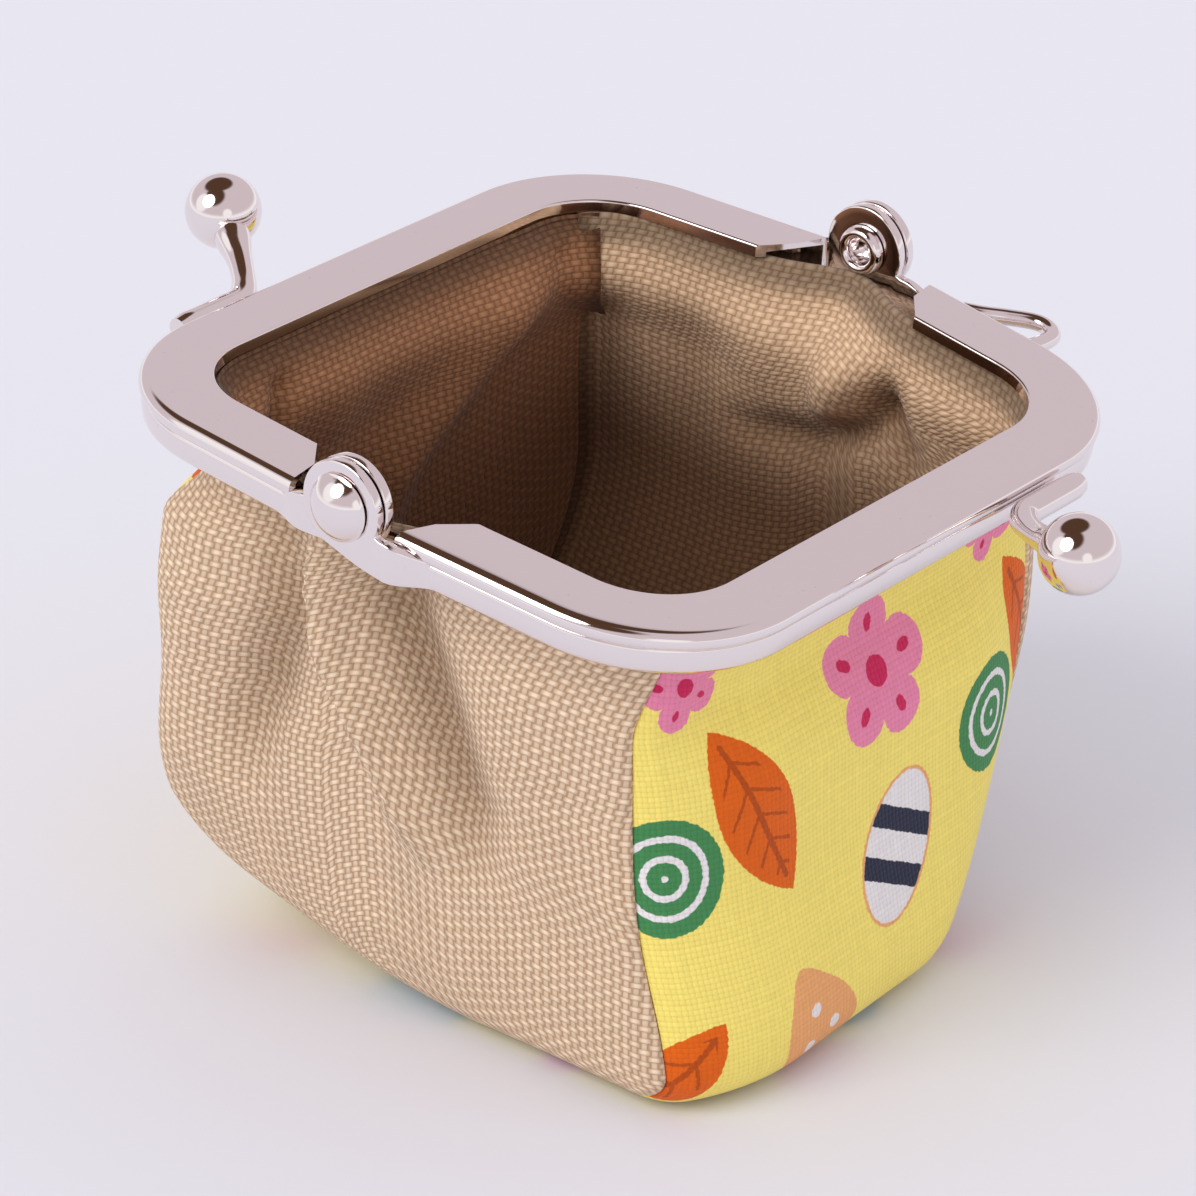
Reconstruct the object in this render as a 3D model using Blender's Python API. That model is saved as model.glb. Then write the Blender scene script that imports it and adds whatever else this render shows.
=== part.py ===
"""Boxy coin purse with a snap-lock clasp frame, standing on its base with the mouth folded open flat.

World frame: metres, +Z up, origin in the middle of the base. The hinge line of the clasp runs along X.
The front half of the clasp reaches towards -Y and the rear half towards +Y.
Each clasp half is modelled in its own frame: x along the hinge line, reach away from it towards -Y, and
rise above the plane of the half, all measured from the hinge axis.
"""

import math

import bmesh
import bpy
from mathutils import Matrix, Vector

# Clearances
seat_gap = 0.0003
mouth_gap = 0.0004
kiss_gap = 0.0004

# Clasp half: the plan of its inner edge
opening_width = 0.0562
opening_reach = 0.0280
arm_flare = 0.0024
inner_corner_radius = 0.0085

# Clasp half: the folded channel
sheet_thickness = 0.0007
plate_width = 0.0058
bead_width = 0.0009
bead_depth = 0.0009
crease_depth = 0.0017
crease_inset = 0.0003
rim_height = 0.0042
rim_round = 0.0007
lip_height = 0.0012
lip_round = 0.0002
lower_leaf_setback = 0.0010
axis_rise = 0.0009

# Clasp half: the ears at the hinge
ear_radius = 0.0037
ear_thickness = 0.0009
outer_ear_face = 0.0379
neck_root_reach = 0.0130
neck_straight_reach = 0.0090
neck_level_reach = 0.0052
neck_low_reach = 0.0056
neck_sink = 0.00015
short_cut_reach = 0.0102
short_cut_width = 0.0018
short_cut_end_reach = 0.0062
long_cut_reach = 0.0086
long_cut_end_reach = 0.0050
long_cut_hollow = 0.0009

# Hinge rivets
rivet_radius = 0.0013
rivet_head_radius = 0.0035
rivet_head_height = 0.0013
rolled_end_radius = 0.0024
rolled_end_thickness = 0.0007
rolled_bore_radius = 0.00115
rolled_bore_depth = 0.0012

# Snap lock: ball knobs on bent wire
ball_radius = 0.0036
front_ball_reach = 0.0468
front_ball_rise = 0.0013
rear_ball_reach = 0.0456
rear_ball_rise = 0.0008
stem_radius = 0.00125
stem_root_x = 0.0197
stem_bend_x = 0.0120
stem_rise = -0.0027

# Strap loop on the right arm of the front half
loop_wire_radius = 0.0008
loop_near_reach = 0.0106
loop_far_reach = 0.0192
loop_stand = 0.0043
loop_rise = -0.0026

# Paper cord pressed into each channel
cord_radius = 0.0010
cord_inset = 0.0024
cord_end_reach = 0.0125

# How the mouth lies open
front_droop = math.radians(8.7)
rear_rise = math.radians(4.4)
hinge_line_y = -0.0026
mouth_height = 0.0535

# Pouch body
front_width = 0.0576
rear_width = 0.0610
body_depth = 0.0538
front_base_radius = 0.0040
rear_base_radius = 0.0080
seam_radius = 0.0032
neck_seam_radius = 0.0081
neck_depth = 0.0054
shoulder_depth = 0.0080
front_belly = 0.0050
rear_belly = 0.0015
side_belly = 0.0008
crown_flat_share = 0.50
cloth_thickness = 0.0010
lining_thickness = 0.0008

# How the cloth has settled: lifted and tucked corners of the base
lift_height = 0.0450
rear_lift = 0.0100
right_lift = 0.0035
front_toe = 0.0015
tuck_height = 0.0250
tuck_width = 0.0220
right_tuck = 0.0120
left_tuck = 0.0010
edge_rise = 0.0004
front_flat_share = 0.63
rear_flat_share = 0.44
narrowing_start_share = 0.10
narrowing_end_share = 0.70
lift_start_share = 0.30
lift_curve_share = 1.65

# Resolution
arc_steps = 9
bar_steps = 4
arm_steps = 3
round_steps = 20
fine_round_steps = 28
wire_sides = 10
cord_sides = 8
neck_rows = 2
shoulder_rows = 3
wall_rows = 5
base_arc_rows = 4
base_rows = 5
cloth_columns = 14

# Worked out from the sizes above
half_opening = opening_width / 2
arm_angle = math.atan(arm_flare / opening_reach)
rim_face = plate_width + bead_width - crease_inset
inner_ear_face = outer_ear_face - ear_thickness - seat_gap
hinge_height = mouth_height + axis_rise
diagonal_share = 1 - math.cos(math.radians(45))


def clear_scene():
    """Remove every object that the file opened with."""
    for thing in list(bpy.data.objects):
        bpy.data.objects.remove(thing, do_unlink=True)


def make_material(name, colour, roughness, metallic):
    """A plain material in one colour."""
    material = bpy.data.materials.new(name)
    material.use_nodes = True
    shader = material.node_tree.nodes["Principled BSDF"]
    shader.inputs["Base Color"].default_value = (*colour, 1.0)
    shader.inputs["Roughness"].default_value = roughness
    shader.inputs["Metallic"].default_value = metallic
    return material


def add_object(name, mesh, material, parent=None):
    """Link a mesh as a named object, smooth where it is round."""
    thing = bpy.data.objects.new(name, mesh)
    bpy.context.scene.collection.objects.link(thing)
    if material is not None:
        mesh.materials.clear()
        mesh.materials.append(material)
    mesh.shade_smooth()
    mesh.set_sharp_from_angle(angle=math.radians(35))
    thing.parent = parent
    return thing


def mesh_from(name, build):
    """A mesh filled by a function that takes an empty bmesh; its faces are turned outwards."""
    work = bmesh.new()
    build(work)
    bmesh.ops.recalc_face_normals(work, faces=work.faces)
    mesh = bpy.data.meshes.new(name)
    work.to_mesh(mesh)
    work.free()
    return mesh


def skin_rings(work, rings, capped=True):
    """Join rings of points, all with as many points, into one skin with its two ends capped."""
    loops = [[work.verts.new(point) for point in ring] for ring in rings]
    count = len(rings[0])
    for before, after in zip(loops, loops[1:]):
        for k in range(count):
            n = (k + 1) % count
            work.faces.new((before[k], before[n], after[n], after[k]))
    if capped:
        work.faces.new(loops[0])
        work.faces.new(reversed(loops[-1]))


def lathe_rings(work, profile, sides):
    """Turn (x, radius) points about the X axis; a radius of zero closes an end."""
    loops = []
    for x, radius in profile:
        if radius == 0:
            loops.append([work.verts.new((x, 0, 0))])
            continue
        turns = [2 * math.pi * k / sides for k in range(sides)]
        loops.append([work.verts.new((x, radius * math.cos(a), radius * math.sin(a))) for a in turns])
    for before, after in zip(loops, loops[1:]):
        for k in range(sides):
            n = (k + 1) % sides
            near = [before[k % len(before)], before[n % len(before)]]
            far = [after[n % len(after)], after[k % len(after)]]
            work.faces.new(list(dict.fromkeys(near + far)))


def tube_rings(points, radius_at, sides):
    """Rings of a round tube along points, carried along without twist."""
    rings = []
    side = None
    for k, point in enumerate(points):
        ahead = (points[min(k + 1, len(points) - 1)] - points[max(k - 1, 0)]).normalized()
        if side is None:
            side = ahead.orthogonal().normalized()
        side = (side - ahead * side.dot(ahead)).normalized()
        up = ahead.cross(side)
        radius = radius_at(k / (len(points) - 1))
        turns = [2 * math.pi * j / sides for j in range(sides)]
        rings.append([point + side * (radius * math.cos(a)) + up * (radius * math.sin(a)) for a in turns])
    return rings


def smooth_step(value):
    """Ease from 0 to 1."""
    value = min(max(value, 0.0), 1.0)
    return value * value * (3 - 2 * value)


def bezier(points, share):
    """A point on the Bezier curve through its control points."""
    level = list(points)
    while len(level) > 1:
        level = [a.lerp(b, share) for a, b in zip(level, level[1:])]
    return level[0]


def set_boolean(thing, operation, cutter):
    """Cut or join with another object, which is then only a guide."""
    step = thing.modifiers.new(operation.lower(), "BOOLEAN")
    step.operation = operation
    step.solver = "EXACT"
    step.object = cutter
    cutter.hide_render = True
    cutter.display_type = "WIRE"


# Clasp halves

def arm_x(reach):
    """Half width of the opening at a reach from the hinge line."""
    return half_opening + arm_flare * (1 - reach / opening_reach)


def half_point(x, reach, rise):
    """A point of a clasp half, in the half's own frame."""
    return Vector((x, -reach, rise))


def edge_line(start_reach):
    """The inner edge of the opening from the left arm round to the right, as (x, reach, normal angle)."""
    centre_x = half_opening - inner_corner_radius * (1 - math.sin(arm_angle)) / math.cos(arm_angle)
    centre_reach = opening_reach - inner_corner_radius
    tangent_reach = centre_reach + inner_corner_radius * math.sin(arm_angle)
    right = []
    for k in range(arm_steps):
        reach = start_reach + (tangent_reach - start_reach) * k / arm_steps
        right.append((arm_x(reach), reach, arm_angle))
    for k in range(arc_steps + 1):
        angle = arm_angle + (math.pi / 2 - arm_angle) * k / arc_steps
        x = centre_x + inner_corner_radius * math.cos(angle)
        reach = centre_reach + inner_corner_radius * math.sin(angle)
        right.append((x, reach, angle))
    left = [(-x, reach, math.pi - angle) for x, reach, angle in right]
    bar = []
    for k in range(1, bar_steps):
        x = centre_x * (2 * k / bar_steps - 1)
        bar.append((x, opening_reach, math.pi / 2))
    return left + bar + right[::-1]


def edge_offset(place, outward, rise):
    """The point at a distance outward from a place on the inner edge."""
    x, reach, angle = place
    return half_point(x + outward * math.cos(angle), reach + outward * math.sin(angle), rise)


def channel_profile():
    """The folded sheet in section, as (outward from the inner edge, rise above the top face)."""
    points = [(0, -lip_height), (0, -lip_round), (lip_round, 0)]
    steps = 4
    for k in range(steps + 1):
        angle = math.pi / 2 * k / steps
        points.append((plate_width + bead_width * math.sin(angle), -bead_depth * (1 - math.cos(angle))))
    points.append((rim_face, -crease_depth))
    for k in range(steps):
        angle = math.pi / 2 * k / (steps - 1)
        outward = rim_face - rim_round * (1 - math.cos(angle))
        points.append((outward, -rim_height + rim_round * (1 - math.sin(angle))))
    points.append((lower_leaf_setback, -rim_height))
    points.append((lower_leaf_setback, -rim_height + sheet_thickness))
    points.append((rim_face - sheet_thickness, -rim_height + sheet_thickness))
    points.append((rim_face - sheet_thickness, -sheet_thickness))
    points.append((sheet_thickness, -sheet_thickness))
    points.append((sheet_thickness, -lip_height))
    return points


def build_channel(work):
    """Sweep the folded section round the inner edge."""
    start_reach = long_cut_end_reach - rim_height
    rings = []
    for place in edge_line(start_reach):
        rings.append([edge_offset(place, outward, rise - axis_rise) for outward, rise in channel_profile()])
    skin_rings(work, rings)


def rim_x(reach):
    """The outer face of the rim on the arms, at a reach from the hinge line."""
    return arm_x(reach) + rim_face / math.cos(arm_angle)


def ear_outline():
    """The ear and its neck, seen along the hinge axis, as (reach, rise)."""
    neck_top = -axis_rise - crease_depth - seat_gap
    neck_bottom = -axis_rise - rim_height + seat_gap
    points = []
    neck_stops = 5
    for k in range(neck_stops):
        reach = neck_root_reach + (neck_level_reach - neck_root_reach) * k / (neck_stops - 1)
        points.append((reach, neck_top))
    lobe_start, lobe_end = math.radians(-14), math.radians(282)
    for k in range(fine_round_steps + 1):
        angle = lobe_start + (lobe_end - lobe_start) * k / fine_round_steps
        points.append((ear_radius * math.cos(angle), ear_radius * math.sin(angle)))
    for k in range(neck_stops):
        reach = neck_low_reach + (neck_root_reach - neck_low_reach) * k / (neck_stops - 1)
        points.append((reach, neck_bottom))
    return points


def build_ear(work, face, side):
    """A flat ear whose outer face stands at a distance from the middle, with its neck bent to the rim."""
    outline = [work.verts.new((0, -reach, rise)) for reach, rise in ear_outline()]
    edges = [work.edges.new((a, b)) for a, b in zip(outline, outline[1:] + outline[:1])]
    hole_radius = rivet_radius + seat_gap
    turns = [2 * math.pi * k / round_steps for k in range(round_steps)]
    hole = [work.verts.new((0, hole_radius * math.cos(a), hole_radius * math.sin(a))) for a in turns]
    edges += [work.edges.new((a, b)) for a, b in zip(hole, hole[1:] + hole[:1])]
    filled = bmesh.ops.triangle_fill(work, edges=edges, use_beauty=True)
    faces = [item for item in filled["geom"] if isinstance(item, bmesh.types.BMFace)]
    grown = bmesh.ops.extrude_face_region(work, geom=faces)
    far = [item for item in grown["geom"] if isinstance(item, bmesh.types.BMVert)]
    bmesh.ops.translate(work, verts=far, vec=(-ear_thickness, 0, 0))
    for vert in work.verts:
        reach = -vert.co.y
        along_neck = (reach - neck_level_reach) / (neck_straight_reach - neck_level_reach)
        rim = rim_x(reach) - neck_sink
        vert.co.x += face + (rim - face) * smooth_step(along_neck)
        vert.co.x *= side


def cut_line(side):
    """Where the channel stops at a hinge, as (x, reach): cut short at the right, in a long hollow at the left."""
    beyond = rim_x(0) + rim_face
    if side > 0:
        corner_x = arm_x(short_cut_reach)
        drop = short_cut_reach - short_cut_end_reach
        rounding_shares = ((0, 0), (0.30, 0.08), (0.72, 0.30), (1.0, 0.55))
        points = [(corner_x + a * short_cut_width, short_cut_reach - b * drop) for a, b in rounding_shares]
        return points + [(beyond, short_cut_end_reach)]
    corner_x = arm_x(long_cut_reach)
    width = rim_x(0) - corner_x
    drop = long_cut_reach - long_cut_end_reach
    points = []
    steps = 5
    for k in range(steps + 1):
        share = k / steps
        hollow = long_cut_hollow * math.sin(math.pi * share)
        points.append((corner_x + width * share, long_cut_reach - drop * share - hollow))
    return points + [(beyond, long_cut_end_reach)]


def build_end_cutter(work, side):
    """A block that takes off the end of one arm of the channel."""
    line = cut_line(side)
    inner_x = half_opening - rim_face
    beyond_hinge = -rim_face
    plan = [(inner_x, beyond_hinge), (inner_x, line[0][1])] + line + [(line[-1][0], beyond_hinge)]
    low = -axis_rise - rim_height - sheet_thickness
    rings = [[half_point(side * x, reach, rise) for x, reach in plan] for rise in (low, rim_height)]
    skin_rings(work, rings)


def build_frame(name, empty, material):
    """One clasp half: channel with cut ends, outer ear at its left and inner ear at its right."""
    frame = add_object(name, mesh_from(name, build_channel), material, empty)
    for side, label in ((-1, "left"), (1, "right")):
        cutter_mesh = mesh_from(name + "_cut_" + label, lambda work: build_end_cutter(work, side))
        cutter = add_object(name + "_cut_" + label, cutter_mesh, None, empty)
        set_boolean(frame, "DIFFERENCE", cutter)
    for side, label, face in ((-1, "left", outer_ear_face), (1, "right", inner_ear_face)):
        ear_mesh = mesh_from(name + "_ear_" + label, lambda work: build_ear(work, face, side))
        ear = add_object(name + "_ear_" + label, ear_mesh, None, empty)
        set_boolean(frame, "UNION", ear)
    return frame


def build_rivet(work):
    """Tubular rivet for the left hinge: domed head outside, shank through both ears, rolled end inside."""
    head_base = -(outer_ear_face + seat_gap)
    end_seat = -(inner_ear_face - ear_thickness - seat_gap)
    end_face = end_seat + rolled_end_thickness
    sphere_radius = (rivet_head_radius ** 2 + rivet_head_height ** 2) / (2 * rivet_head_height)
    dome_angle = math.asin(rivet_head_radius / sphere_radius)
    profile = []
    steps = 5
    for k in range(steps + 1):
        angle = dome_angle * k / steps
        x = head_base - rivet_head_height + sphere_radius * (1 - math.cos(angle))
        profile.append((x, sphere_radius * math.sin(angle)))
    profile[0] = (profile[0][0], 0)
    profile += [(head_base, rivet_radius), (end_seat, rivet_radius), (end_seat, rolled_end_radius)]
    rolled_mid_radius = (rolled_end_radius + rolled_bore_radius) / 2
    profile += [(end_seat + rolled_end_thickness / 2, rolled_end_radius), (end_face, rolled_mid_radius)]
    profile += [(end_face, rolled_bore_radius), (end_face - rolled_bore_depth, rolled_bore_radius)]
    profile += [(end_face - rolled_bore_depth, 0)]
    lathe_rings(work, profile, round_steps)


def rim_reach():
    """How far the bead of the bar lies from the hinge line."""
    return opening_reach + plate_width + bead_width


def ball_centre(half):
    """Middle of the ball knob of a half."""
    if half == "front":
        return half_point(ball_radius + kiss_gap / 2, front_ball_reach, front_ball_rise)
    return half_point(ball_radius + kiss_gap / 2, rear_ball_reach, rear_ball_rise)


def stem_line(half):
    """The bent wire from its root along the rim to the ball, ending just short of the ball."""
    seat_reach = rim_reach() + seat_gap + stem_radius
    root = half_point(stem_root_x, seat_reach, stem_rise)
    bend = half_point(stem_bend_x, seat_reach, stem_rise)
    ball = ball_centre(half)
    lean_reach = seat_reach + (-ball.y - seat_reach) / 2
    knee = half_point(stem_bend_x - 2 * stem_radius, seat_reach, stem_rise)
    waist = half_point((knee.x + ball.x) / 2, lean_reach, stem_rise / 2)
    straight = [root.lerp(bend, k / 3) for k in range(3)]
    curve_steps = 12
    curve = [bezier((bend, knee, waist, ball), k / curve_steps) for k in range(curve_steps + 1)]
    stand_off = ball_radius + seat_gap
    kept = [point for point in curve if (point - ball).length > stand_off + stem_radius / 2]
    tip = ball + (kept[-1] - ball).normalized() * stand_off
    return straight + kept + [tip]


def build_stem(work, half):
    """The wire of the snap lock."""
    skin_rings(work, tube_rings(stem_line(half), lambda share: stem_radius, wire_sides))


def build_ball(work, half):
    """The ball knob, turned about an axis along X."""
    steps = 12
    centre = ball_centre(half)
    profile = []
    for k in range(steps + 1):
        angle = math.pi * k / steps
        profile.append((-ball_radius * math.cos(angle), ball_radius * math.sin(angle)))
    profile[0] = (-ball_radius, 0)
    profile[-1] = (ball_radius, 0)
    lathe_rings(work, profile, round_steps)
    bmesh.ops.translate(work, verts=work.verts, vec=centre)


def build_cord(work):
    """Twisted paper cord, laid along the inside of the channel."""
    middle = -axis_rise - rim_height / 2
    points = [edge_offset(place, cord_inset, middle) for place in edge_line(cord_end_reach)]
    skin_rings(work, tube_rings(points, lambda share: cord_radius, cord_sides))


def build_loop(work):
    """Wire bow on the right arm: it leaves the rim slowly and comes back to it in a short bend."""
    clear = seat_gap + loop_wire_radius
    span = loop_far_reach - loop_near_reach
    leave_shares = [(0.0, 0.0), (0.18, 0.22), (0.42, 0.62), (0.66, 0.96)]
    stand_shares = leave_shares + [(0.84, 1.0), (0.98, 0.80), (1.0, 0.42), (0.97, 0.0)]
    route = []
    for along_share, out_share in stand_shares:
        reach = loop_near_reach + span * along_share
        route.append(half_point(rim_x(reach) + clear + loop_stand * out_share, reach, loop_rise))
    points = []
    steps = 3
    for k in range(len(route) - 1):
        before, a, b, after = route[max(k - 1, 0)], route[k], route[k + 1], route[min(k + 2, len(route) - 1)]
        leave, arrive = a + (b - before) / 6, b - (after - a) / 6
        points += [bezier((a, leave, arrive, b), j / steps) for j in range(steps)]
    points.append(route[-1])
    skin_rings(work, tube_rings(points, lambda share: loop_wire_radius, cord_sides))


# Pouch

def cloth_top(y):
    """Height of the cloth's top edge, just under the upper face of the plates."""
    away = y - hinge_line_y
    slope = math.tan(front_droop) if away < 0 else math.tan(rear_rise)
    return mouth_height - sheet_thickness + away * slope


def mouth_y(side):
    """Where the cloth stands inside the bar of the front (-1) or rear (1) half."""
    tilt = front_droop if side < 0 else rear_rise
    return hinge_line_y + side * (opening_reach * math.cos(tilt) - mouth_gap)


def neck_share(below_top):
    """1 inside the clasp's opening, easing to 0 below its shoulder."""
    return 1 - smooth_step((below_top - neck_depth) / shoulder_depth)


def half_width(below_top, y):
    """Half width of the pouch at its seams."""
    neck = neck_share(below_top)
    back_share = min(max(y / body_depth + 0.5, 0.0), 1.0)
    body = (front_width + (rear_width - front_width) * back_share) / 2
    return neck * (half_opening - mouth_gap) + (1 - neck) * body


def corner_radius(below_top):
    """Radius of the pouch's upright corners."""
    neck = neck_share(below_top)
    return neck * neck_seam_radius + (1 - neck) * seam_radius


def base_radius(side):
    """Radius between the base and the front (-1) or rear (1) wall."""
    return front_base_radius if side < 0 else rear_base_radius


def wall_heights(top, side):
    """Heights of the rows of one wall, from its top edge down to the rounding of the base."""
    drops = [neck_depth * k / neck_rows for k in range(neck_rows)]
    drops += [neck_depth + shoulder_depth * k / shoulder_rows for k in range(shoulder_rows)]
    start = neck_depth + shoulder_depth
    length = top - base_radius(side)
    drops += [start + (length - start) * k / wall_rows for k in range(wall_rows)]
    return [top - drop for drop in drops]


def wall_line(side):
    """One wall from its top edge to the edge of the base: (y, z, depth below the top, swell share)."""
    top_y = mouth_y(side)
    top = cloth_top(top_y)
    line = []
    for z in wall_heights(top, side):
        neck = neck_share(top - z)
        swell = smooth_step((top - z - neck_depth) / (2 * shoulder_depth))
        line.append((neck * top_y + (1 - neck) * side * body_depth / 2, z, top - z, swell))
    for k in range(base_arc_rows + 1):
        angle = math.pi / 2 * k / base_arc_rows
        y = side * (body_depth / 2 - base_radius(side) * (1 - math.cos(angle)))
        z = base_radius(side) * (1 - math.sin(angle))
        line.append((y, z, top - z, 1.0))
    return line


def settle(point):
    """Lift and tuck the lower cloth: the rear of the base and its right edge stand clear of the floor."""
    low = max(1 - point.z / lift_height, 0.0)
    tuck_low = max(1 - point.z / tuck_height, 0.0) ** 2
    across = 2 * point.x / front_width
    along = 2 * point.y / body_depth
    narrowing = (along - narrowing_start_share) / (narrowing_end_share - narrowing_start_share)
    narrowing = min(max(narrowing, 0.0), 1.0)
    flat_share = front_flat_share + (rear_flat_share - front_flat_share) * narrowing
    outward = min(max((abs(across) - flat_share) / (1 - flat_share), 0.0), 1.0)
    rearward = min(max((along + lift_start_share) / (1 + lift_start_share), 0.0), 1.0) ** lift_curve_share
    lift = edge_rise * outward + rear_lift * outward ** 2 * rearward
    if across > 0:
        lift += right_lift * outward ** 2 * (1 - rearward)
    tuck_share = min(max(point.x / tuck_width, -1.0), 1.0)
    tuck_share = (3 * tuck_share - tuck_share ** 3) / 2
    tuck = right_tuck * tuck_share if tuck_share > 0 else left_tuck * tuck_share
    toe = front_toe * tuck_low * max(-along, 0.0)
    return Vector((point.x - tuck_low * tuck, point.y - toe, point.z + low * lift))


def strip_line():
    """The strip in section from the front's top edge under the base to the rear's: (y, z, depth, belly)."""
    front = [(y, z, below_top, -front_belly * share) for y, z, below_top, share in wall_line(-1)]
    rear = [(y, z, below_top, rear_belly * share) for y, z, below_top, share in wall_line(1)]
    start, end = front[-1], rear[-1]
    base = []
    for k in range(1, base_rows):
        share = k / base_rows
        y = start[0] + (end[0] - start[0]) * share
        base.append((y, 0.0, start[2], start[3] + (end[3] - start[3]) * share))
    return front + base + rear[::-1]


def strip_normals(line):
    """Outward normals of the strip's section."""
    normals = []
    for k in range(len(line)):
        before, after = line[max(k - 1, 0)], line[min(k + 1, len(line) - 1)]
        along = Vector((after[0] - before[0], after[1] - before[1])).normalized()
        normals.append(Vector((along.y, -along.x)))
    return normals


def corner_depth(radius, inside):
    """How far a rounded corner falls back, at a distance inside the flat of the other face."""
    if inside >= radius:
        return 0.0
    return radius - math.sqrt(radius ** 2 - (radius - inside) ** 2)


def strip_row(place, normal, inset):
    """One row of the strip across the pouch, at a depth inside its outer face."""
    y, z, below_top, belly = place
    radius = corner_radius(below_top) - inset
    width = half_width(below_top, y) - inset
    seam = width - diagonal_share * radius - seat_gap * math.sqrt(0.5)
    row = []
    for j in range(cloth_columns + 1):
        across = math.sin(math.pi / 2 * (2 * j / cloth_columns - 1))
        x = seam * across
        out = -corner_depth(radius, width - abs(x)) - inset
        edge_share = max(abs(across) - crown_flat_share, 0.0) / (1 - crown_flat_share)
        crown = belly * (1 - edge_share ** 2)
        row.append(settle(Vector((x, y + crown + normal.x * out, z + normal.y * out))))
    return row


def shell_between(work, outer, inner):
    """Close two grids of points, one behind the other, into one body."""
    front = [[work.verts.new(point) for point in row] for row in outer]
    back = [[work.verts.new(point) for point in row] for row in inner]
    rows, columns = len(front), len(front[0])
    for i in range(rows - 1):
        for j in range(columns - 1):
            work.faces.new((front[i][j], front[i][j + 1], front[i + 1][j + 1], front[i + 1][j]))
            work.faces.new((back[i][j], back[i + 1][j], back[i + 1][j + 1], back[i][j + 1]))
    rim = [(0, j) for j in range(columns)] + [(i, columns - 1) for i in range(1, rows)]
    rim += [(rows - 1, j) for j in range(columns - 2, -1, -1)] + [(i, 0) for i in range(rows - 2, 0, -1)]
    for (a, b), (c, d) in zip(rim, rim[1:] + rim[:1]):
        work.faces.new((front[a][b], back[a][b], back[c][d], front[c][d]))


def build_strip(work, inset, thickness):
    """Front, base and back in one strip of cloth."""
    line = strip_line()
    normals = strip_normals(line)
    outer = [strip_row(place, normal, inset) for place, normal in zip(line, normals)]
    inner = [strip_row(place, normal, inset + thickness) for place, normal in zip(line, normals)]
    shell_between(work, outer, inner)


def section_points(inset):
    """The strip's section as (y, z) points, at a depth inside its outer face."""
    line = strip_line()
    normals = strip_normals(line)
    return [Vector((place[0], place[1])) - normal * inset for place, normal in zip(line, normals)]


def distance_to(points, y, z):
    """Distance of a place from a line of (y, z) points."""
    place = Vector((y, z))
    best = None
    for a, b in zip(points, points[1:]):
        along = b - a
        share = min(max((place - a).dot(along) / along.length_squared, 0.0), 1.0)
        away = (place - a - along * share).length
        best = away if best is None else min(best, away)
    return best


def side_swell(y, below_top, across):
    """How far the side stands out past its seams: it follows the arms at the top and is a little full below."""
    neck = neck_share(below_top)
    follow = arm_flare * max(1 - abs(y - hinge_line_y) / opening_reach, 0.0)
    full = side_belly * math.sin(math.pi * across)
    return neck * follow + (1 - neck) * full


def gusset_grid(side, inset):
    """The side of the pouch as rows of points, from its top edge to the edge of the base."""
    front, rear = wall_line(-1), wall_line(1)
    line = strip_line()
    normals = strip_normals(line)
    section = section_points(inset)
    grid = []
    last = len(front) - 1
    for i in range(last + 1):
        ends = []
        for place, normal in ((front[i], normals[i]), (rear[i], normals[len(line) - 1 - i])):
            radius = corner_radius(place[2]) - inset
            back = inset + diagonal_share * radius + seat_gap * math.sqrt(0.5)
            ends.append(Vector((place[0], place[1])) - normal * back)
        fade = 1 - smooth_step(front[i][2] / (2 * (neck_depth + shoulder_depth)))
        row = []
        for j in range(cloth_columns + 1):
            across = (1 - math.cos(math.pi * j / cloth_columns)) / 2
            spot = ends[0].lerp(ends[1], across)
            y = spot.x
            lift = top_lift(y) * fade
            z = spot.y + lift
            below_top = max(cloth_top(y) - z, 0.0)
            radius = corner_radius(below_top) - inset
            inside = distance_to(section, y, spot.y)
            x = half_width(below_top, y) - inset - corner_depth(radius, inside)
            x += side_swell(y, below_top, across)
            row.append(settle(Vector((side * x, y, z))))
        grid.append(row)
    return grid


def top_lift(y):
    """How far the top edge of a side rises above the straight line between the tops of the walls."""
    front_y, rear_y = mouth_y(-1), mouth_y(1)
    front_top, rear_top = cloth_top(front_y), cloth_top(rear_y)
    share = min(max((y - front_y) / (rear_y - front_y), 0.0), 1.0)
    return cloth_top(y) - (front_top + (rear_top - front_top) * share)


def build_gusset(work, side, inset, thickness):
    """One side of the pouch."""
    shell_between(work, gusset_grid(side, inset), gusset_grid(side, inset + thickness))


def add_half(name, droop, turn):
    """The empty that carries a clasp half on the hinge axis."""
    empty = bpy.data.objects.new(name, None)
    bpy.context.scene.collection.objects.link(empty)
    turned = Matrix.Rotation(turn, 4, "Z") @ Matrix.Rotation(droop, 4, "X")
    empty.matrix_world = Matrix.Translation((0, hinge_line_y, hinge_height)) @ turned
    return empty


def build_clasp(plated, paper):
    """Both clasp halves with what is fixed to them."""
    halves = (("front", front_droop, 0.0), ("rear", -rear_rise, math.pi))
    for name, tilt, turn in halves:
        empty = add_half(name + "_half", tilt, turn)
        build_frame(name + "_frame", empty, plated)
        stem = mesh_from("stem", lambda work: build_stem(work, name))
        add_object(name + "_lock_stem", stem, plated, empty)
        ball = mesh_from("ball", lambda work: build_ball(work, name))
        add_object(name + "_lock_ball", ball, plated, empty)
        add_object(name + "_paper_cord", mesh_from("cord", build_cord), paper, empty)
        if name == "front":
            add_object("strap_loop", mesh_from("loop", build_loop), plated, empty)


def build_rivets(plated):
    """The two hinge rivets."""
    for name, turn in (("left_hinge_rivet", 0.0), ("right_hinge_rivet", math.pi)):
        rivet = add_object(name, mesh_from(name, build_rivet), plated)
        rivet.location = (0, hinge_line_y, hinge_height)
        rivet.rotation_euler = (0, 0, turn)


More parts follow.
